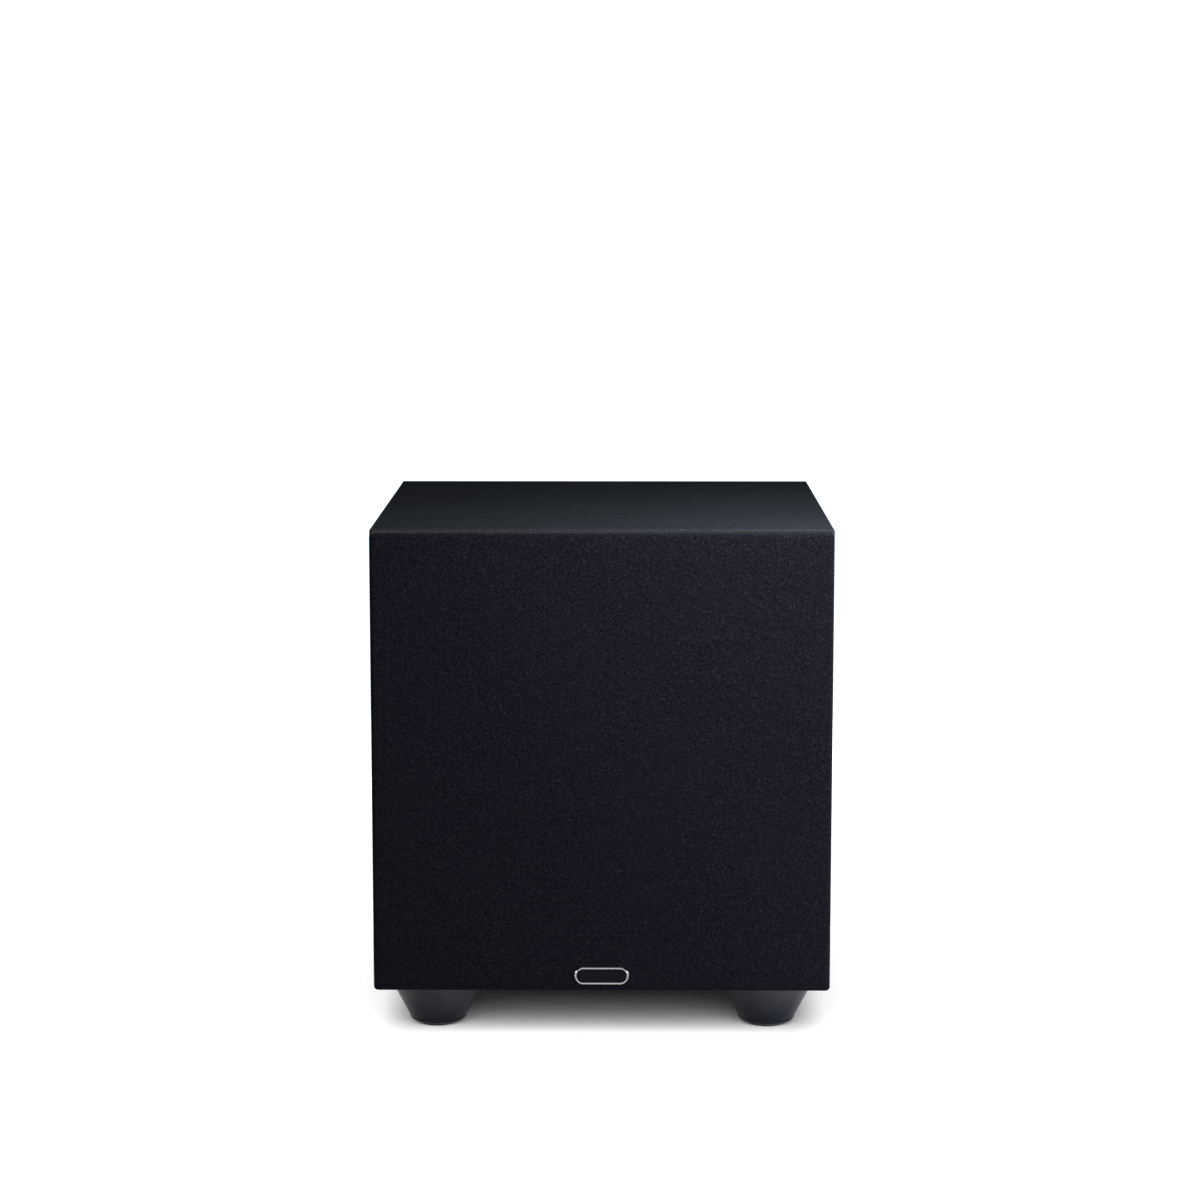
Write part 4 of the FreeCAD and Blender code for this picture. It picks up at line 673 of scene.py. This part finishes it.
def stretch_between(piece, outer, inner):
    """Lets a ring piece follow the cabinet at its outer edge and the cone at its inner one."""
    high, low = DRIVER + Vector((0, 0, outer)) * MM, DRIVER + Vector((0, 0, inner)) * MM
    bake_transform(piece, "cabinet", "cone_assembly", start=high, end=low)
    weights = piece.data.attributes["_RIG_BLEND"].data
    for point, weight in zip(piece.data.vertices, weights):
        radius = math.hypot(point.co.x - DRIVER.x, point.co.z - DRIVER.z) / MM
        share = min(max((outer - radius) / (outer - inner), 0.0), 1.0)
        weight.value = share * share * (3 - 2 * share)


def foot_bead(radius, height):
    """The outline of a low bead round the surround's flat foot, from outside in."""
    outline = ((0.8, 0.0), (0.4, height), (-0.4, height), (-0.8, 0.0))
    return [(radius + off, -RUBBER_T - rise) for off, rise in outline]


def surround():
    """The half-roll of rubber round the cone, with a moulded bead at each foot."""
    centre = (ROLL_AT, 0.0)
    outer = [(r, -abs(s)) for r, s in arc(centre, ROLL_R, 8, 172, 36)]
    inner = [(r, -abs(s)) for r, s in arc(centre, ROLL_R - RUBBER_T, 178, 2, 36)]
    points = [(BASKET_LIP, -0.05), (BASKET_LIP, -0.9), (BASKET_LIP - 0.3, -RUBBER_T)]
    points += foot_bead(OUTER_BEAD, 0.35) + outer + foot_bead(INNER_BEAD, 0.3)
    points += [(SURROUND_IN + 0.3, -RUBBER_T), (SURROUND_IN, -0.9), (SURROUND_IN, -0.05)] + inner
    piece = driver_ring("surround_roll", points, "surround_rubber")
    stretch_between(piece, ROLL_OUT_END, ROLL_IN_END)
    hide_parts("surround")


def spider():
    """The corrugated cloth disc behind the cone."""
    waves, wave, steps = 4, 3.0, 64
    middle_line = [(SPIDER_OUT, SPIDER_S)]
    for i in range(steps + 1):
        t = i / steps
        radius = SPIDER_FOOT + (SPIDER_IN - SPIDER_FOOT) * t
        middle_line.append((radius, SPIDER_S - wave * math.sin(2 * math.pi * waves * t)))
    front = [(r, s - SPIDER_T / 2) for r, s in middle_line]
    back = [(r, s + SPIDER_T / 2) for r, s in reversed(middle_line)]
    piece = driver_ring("spider_disc", front + back, "spider_cloth", steps=144)
    stretch_between(piece, SPIDER_FOOT, SPIDER_IN + 1.0)
    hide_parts("spider")


def cone():
    """The cone, pressed with three low ridges, and the bead of glue round its dust cap."""
    slope = NECK_S / (CONE_LIP - NECK_R)
    back = CONE_T * math.sqrt(1 + slope**2)

    def depth(radius):
        ridges = sum(math.exp(-(((radius - at) / 0.9) ** 2)) for at in (59.0, 69.0, 79.0))
        return (CONE_LIP - radius) * slope - 0.45 * ridges

    steps = 130
    radii = [CONE_LIP - i * (CONE_LIP - NECK_R) / steps for i in range(steps + 1)]
    front = [(CONE_EDGE, 0.0), (CONE_LIP + 0.4, 0.0)] + [(r, depth(r)) for r in radii]
    rear = [(NECK_R, NECK_S + 5), (NECK_R + CONE_T, NECK_S + 5)]
    rear += [(r, depth(r) + back) for r in reversed(radii) if r > NECK_R + CONE_T] + [(CONE_EDGE, CONE_T)]
    piece = driver_ring("cone_paper", front + rear, "cone_paper", "cone_assembly", crease=60)
    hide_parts("cone")
    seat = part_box("dust_cap")[1].x / MM
    bead = arc((seat + 0.25, depth(seat) - 0.25), 0.75, 0, 345, 14)
    driver_ring("cap_glue", bead, "surround_rubber", "cone_assembly")


# ---------------------------------------------------------------- cabinet lining
def islands(node):
    """The separate solids of a CAD node, each as its lowest and highest corner."""
    shape = bmesh.new()
    shape.from_mesh(NODES[node].data)
    bmesh.ops.remove_doubles(shape, verts=shape.verts, dist=1e-6)
    left, found = set(shape.verts), []
    while left:
        queue, group = [left.pop()], []
        while queue:
            vert = queue.pop()
            group.append(vert.co.copy())
            for edge in vert.link_edges:
                other = edge.other_vert(vert)
                if other in left:
                    left.remove(other)
                    queue.append(other)
        found.append((Vector(map(min, *group)), Vector(map(max, *group))))
    shape.free()
    return sorted(found, key=lambda pair: tuple(round(v, 4) for v in pair[0]))


def wadding_pads():
    """Felt pads against the cabinet's walls: soft-edged, uneven slabs."""
    for number, (low, high) in enumerate(islands("damping_pads"), 1):
        centre, size = (low + high) / 2, high - low
        shape = bmesh.new()
        place = Matrix.Translation(centre) @ Matrix.Diagonal((*size, 1.0))
        bmesh.ops.create_cube(shape, size=1.0, matrix=place)
        edges = shape.edges[:]
        bmesh.ops.bevel(shape, geom=edges, offset=5.5 * MM, segments=4, profile=0.5, affect="EDGES")
        long_edges = [edge for edge in shape.edges if edge.calc_length() > 14 * MM]
        bmesh.ops.subdivide_edges(shape, edges=long_edges, cuts=22, use_grid_fill=True)
        shape.normal_update()
        moves = [(v, v.normal * felt_dip(v.co)) for v in shape.verts]
        for vert, move in moves:
            vert.co -= move
        piece = mesh_piece(f"wadding_pad_{number}", shape, SURFACES["wadding"], "cabinet", 80)
        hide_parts("damping_pads")


def felt_dip(place):
    """How far a felt pad's skin is pressed in at a place."""
    lumps = 0.5 + 0.5 * noise.noise(place / 0.035)
    fine = 0.5 + 0.5 * noise.noise(place / 0.011 + Vector((3, 1, 2)))
    return (1.6 * lumps + 0.6 * fine) * MM


# ---------------------------------------------------------------- printed marks
PRINT_T = 0.05 * MM       # the ink's thickness
PRINT_GAP = 0.01 * MM     # the ink's clearance off the surface under it
TICK_R, NUMBER_R = 10.9 * MM, 16.2 * MM
TICK_W, NUMBER_H = 0.4 * MM, 2.3 * MM


def bar(shape, centre, angle, length, width):
    """A flat printed bar on the XZ plane, its length at an angle from +Z towards -X."""
    along = Vector((-math.sin(angle), 0, math.cos(angle)))
    aside = Vector((along.z, 0, -along.x))
    rows, cells = [], 6
    for i in range(cells + 1):
        point = centre + along * (i / cells - 0.5) * length
        rows.append([shape.verts.new(point + aside * width / 2 * side) for side in (-1, 1)])
    for a, b in zip(rows, rows[1:]):
        shape.faces.new((a[0], a[1], b[1], b[0]))


def hoop(shape, centre, radius, width):
    """A flat printed ring on the XZ plane."""
    rings = []
    for r in (radius - width / 2, radius + width / 2):
        circle = arc((0, 0), r, 0, 360, 40)[:-1]
        rings.append([shape.verts.new(centre + Vector((x, 0, z))) for x, z in circle])
    join_rings(shape, rings)


def numeral(shape, value, centre, height):
    """A dial number, read from behind the cabinet."""
    curve = bpy.data.curves.new("dial_number", "FONT")
    curve.body, curve.size = str(value), height * 1.4
    curve.align_x, curve.align_y, curve.resolution_u = "CENTER", "CENTER", 3
    holder = bpy.data.objects.new("dial_number", curve)
    mesh = bpy.data.meshes.new_from_object(holder)
    facing = Matrix(((-1, 0, 0, centre.x), (0, 0, 1, centre.y), (0, 1, 0, centre.z), (0, 0, 0, 1)))
    mesh.transform(facing)
    shape.from_mesh(mesh)
    bpy.data.meshes.remove(mesh)
    bpy.data.objects.remove(holder)
    bpy.data.curves.remove(curve)


def printed(name, shape, node, body):
    """Drops flat marks onto a node's rear-facing surface and gives them the ink's thickness."""
    target = bmesh.new()
    target.from_mesh(NODES[node].data)
    tree = BVHTree.FromBMesh(target)
    target.free()
    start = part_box(node)[1].y + 5 * MM
    for vert in shape.verts:
        hit = tree.ray_cast(Vector((vert.co.x, start, vert.co.z)), Vector((0, -1, 0)))[0]
        if hit:
            vert.co.y = hit.y + PRINT_GAP
    grown = bmesh.ops.extrude_face_region(shape, geom=shape.faces[:])
    lifted = [item for item in grown["geom"] if isinstance(item, bmesh.types.BMVert)]
    bmesh.ops.translate(shape, verts=lifted, vec=(0, PRINT_T, 0))
    mesh_piece(name, shape, INK, body, 30)


def dial_marks(shape, node, labels):
    """Eleven ticks round a knob, with numbers outside the first, the middle and the last."""
    centre = middle(node)
    centre.y = FACE_Y
    for i in range(11):
        angle = math.radians(150 - 30 * i)
        out = Vector((math.sin(angle), 0, math.cos(angle)))
        numbered = i % 5 == 0
        long = (2.2 if numbered else 1.5) * MM
        bar(shape, centre + out * (TICK_R + long / 2), -angle, long, TICK_W)
        if numbered:
            numeral(shape, labels[i // 5], centre + out * NUMBER_R, NUMBER_H)


def line_frame(shape, low, high):
    """A thin printed rectangle between two corners on the plate."""
    centre, width = (low + high) / 2, 0.35 * MM
    for z in (low.z, high.z):
        bar(shape, Vector((centre.x, FACE_Y, z)), math.pi / 2, high.x - low.x, width)
    for x in (low.x, high.x):
        bar(shape, Vector((x, FACE_Y, centre.z)), 0, high.z - low.z, width)


def plate_print():
    """Scales round the two dials and thin frames round the other controls."""
    shape = bmesh.new()
    dial_marks(shape, "level_knob", (0, 5, 10))
    dial_marks(shape, "cutoff_knob", (50, 100, 150))
    for node, margin in (("rca_shells", 4), ("mode_lever", 7), ("phase_lever", 7), ("trigger_jack", 3)):
        low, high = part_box(node)
        grow = Vector((margin, 0, margin)) * MM
        line_frame(shape, low - grow, high + grow)
    printed("plate_print", shape, "amp_plate", "cabinet")


def knob_pointers():
    """A white pointer line on each knob's face, at twelve o'clock in the rest position."""
    for node, body in (("level_knob", "level_control"), ("cutoff_knob", "cutoff_control")):
        shape = bmesh.new()
        bar(shape, middle(node) + Vector((0, 0, 4.6 * MM)), 0, 5.0 * MM, 0.9 * MM)
        printed(node + "_pointer", shape, node, body)


def rocker_marks():
    """The on bar and off ring printed on the rocker."""
    shape = bmesh.new()
    centre, off_centre = middle("rocker"), Vector((0, 0, 6.0 * MM))
    bar(shape, centre + off_centre, 0, 3.4 * MM, 0.55 * MM)
    hoop(shape, centre - off_centre, 1.7 * MM, 0.5 * MM)
    printed("rocker_marks", shape, "rocker", "power_rocker")


# ---------------------------------------------------------------- studio
def floor():
    """A wide white floor."""
    surface = Surface("studio_floor", (0.86, 0.86, 0.86), 0.55, Specular_IOR_Level=0.2)
    surface.tint(surface.spread(surface.noise(0.5, 3), 0.3, 0.8, 0.0, 0.3), (0.84, 0.84, 0.845))
    shape = bmesh.new()
    bmesh.ops.create_circle(shape, cap_ends=True, segments=128, radius=1.15)
    piece = mesh_piece("studio_floor", shape, surface, None)
    return piece


def area_light(name, place, aim, size, watts, receivers):
    """A soft rectangular light at a place, facing a point, that lights one set of things."""
    light = bpy.data.lights.new(name, "AREA")
    light.shape, light.energy = "RECTANGLE", watts
    light.size, light.size_y = size
    lamp = bpy.data.objects.new(name, light)
    lamp.location = place
    lamp.rotation_mode = "QUATERNION"
    lamp.rotation_quaternion = (Vector(aim) - Vector(place)).to_track_quat("-Z", "Y")
    lamp.visible_camera = False
    lamp.light_linking.receiver_collection = receivers
    bpy.context.scene.collection.objects.link(lamp)
    return lamp


def sun(name, source, spread, strength, receivers):
    """Even light from one side, as soft as its spread in degrees, that lights one set of things."""
    light = bpy.data.lights.new(name, "SUN")
    light.angle, light.energy = math.radians(spread), strength
    lamp = bpy.data.objects.new(name, light)
    lamp.rotation_mode = "QUATERNION"
    lamp.rotation_quaternion = Vector(source).to_track_quat("Z", "Y")
    lamp.light_linking.receiver_collection = receivers
    bpy.context.scene.collection.objects.link(lamp)


def surroundings():
    """White to the eye, and to everything else dim cool walls under a brighter ceiling."""
    world = bpy.data.worlds.new("studio")
    bpy.context.scene.world = world
    world.use_nodes = True
    tree = world.node_tree
    sky = tree.nodes["Background"]
    sky.inputs["Color"].default_value = (0.84, 0.93, 1.0, 1.0)
    direction = tree.nodes.new("ShaderNodeTexCoord").outputs["Generated"]
    split = tree.nodes.new("ShaderNodeSeparateXYZ")
    tree.links.new(direction, split.inputs["Vector"])
    ceiling = tree.nodes.new("ShaderNodeMapRange")
    ceiling.interpolation_type = "SMOOTHSTEP"
    for socket, value in (("From Min", 0.8), ("From Max", 0.97), ("To Min", 0.010), ("To Max", 0.40)):
        ceiling.inputs[socket].default_value = value
    tree.links.new(split.outputs["Z"], ceiling.inputs["Value"])
    seen = tree.nodes.new("ShaderNodeLightPath").outputs["Is Camera Ray"]
    level = tree.nodes.new("ShaderNodeMix")
    level.inputs["B"].default_value = 1.3          # enough for every channel to show as white
    tree.links.new(seen, level.inputs["Factor"])
    tree.links.new(ceiling.outputs["Result"], level.inputs["A"])
    tree.links.new(level.outputs["Result"], sky.inputs["Strength"])


def lit_together(name, pieces):
    """A collection of the things that a light shines on."""
    group = bpy.data.collections.new(name)
    for piece in pieces:
        group.objects.link(piece)
    return group


def studio():
    """A white floor with lights of its own, and soft boxes that light only the object."""
    bpy.context.scene.view_settings.view_transform = "Standard"
    surroundings()
    pieces = [piece for piece in bpy.context.scene.objects if piece.type == "MESH"]
    floor_only = lit_together("floor_only", [floor()])
    object_only = lit_together("object_only", pieces)
    walls_only = lit_together("walls_only", [piece for piece in pieces if piece != NODES["top_board"]])
    close = area_light("soft_box", (0.22, -0.365, 0.62), (0.08, -0.25, 0.32), (0.52, 0.28), 16, object_only)
    close.visible_glossy = False
    area_light("low_box", (0.56, -0.5, 0.12), (0.28, -0.18, 0.03), (0.28, 0.18), 7.4, object_only)
    area_light("left_box", (-1.4, -0.1, 0.4), (0, 0, 0.15), (0.8, 0.5), 5, walls_only)
    area_light("right_box", (1.4, -0.45, 0.4), (0, -0.05, 0.12), (0.8, 0.5), 7, walls_only)
    for side in (-1, 1):
        area_light("rear_box", (1.15 * side, 1.35, 0.6), (0, 0.1, 0.2), (0.8, 0.5), 7, walls_only)
        sun("floor_side", (0.66 * side, -1, 0.78), 38, 2.1, floor_only)
    sun("floor_front", (0, -1, 0.68), 47, 3.1, floor_only)
    sun("floor_back", (0, 1, 1.6), 60, 2.6, floor_only)


def camera():
    """The viewing camera, level across and a little above the cabinet's top."""
    lens = bpy.data.cameras.new("camera")
    lens.lens, lens.sensor_width = 88.95, 36.0
    eye = bpy.data.objects.new("camera", lens)
    eye.location = (0.0149, -2.3024, 0.6397)
    eye.rotation_euler = (math.radians(90 - 8.294), 0.0, math.radians(0.436))
    bpy.context.scene.collection.objects.link(eye)
    bpy.context.scene.camera = eye


camera()
grille_cloth()
badge_inlay()
surround()
spider()
cone()
wadding_pads()
plate_print()
knob_pointers()
rocker_marks()
studio()

bpy.context.view_layer.update()
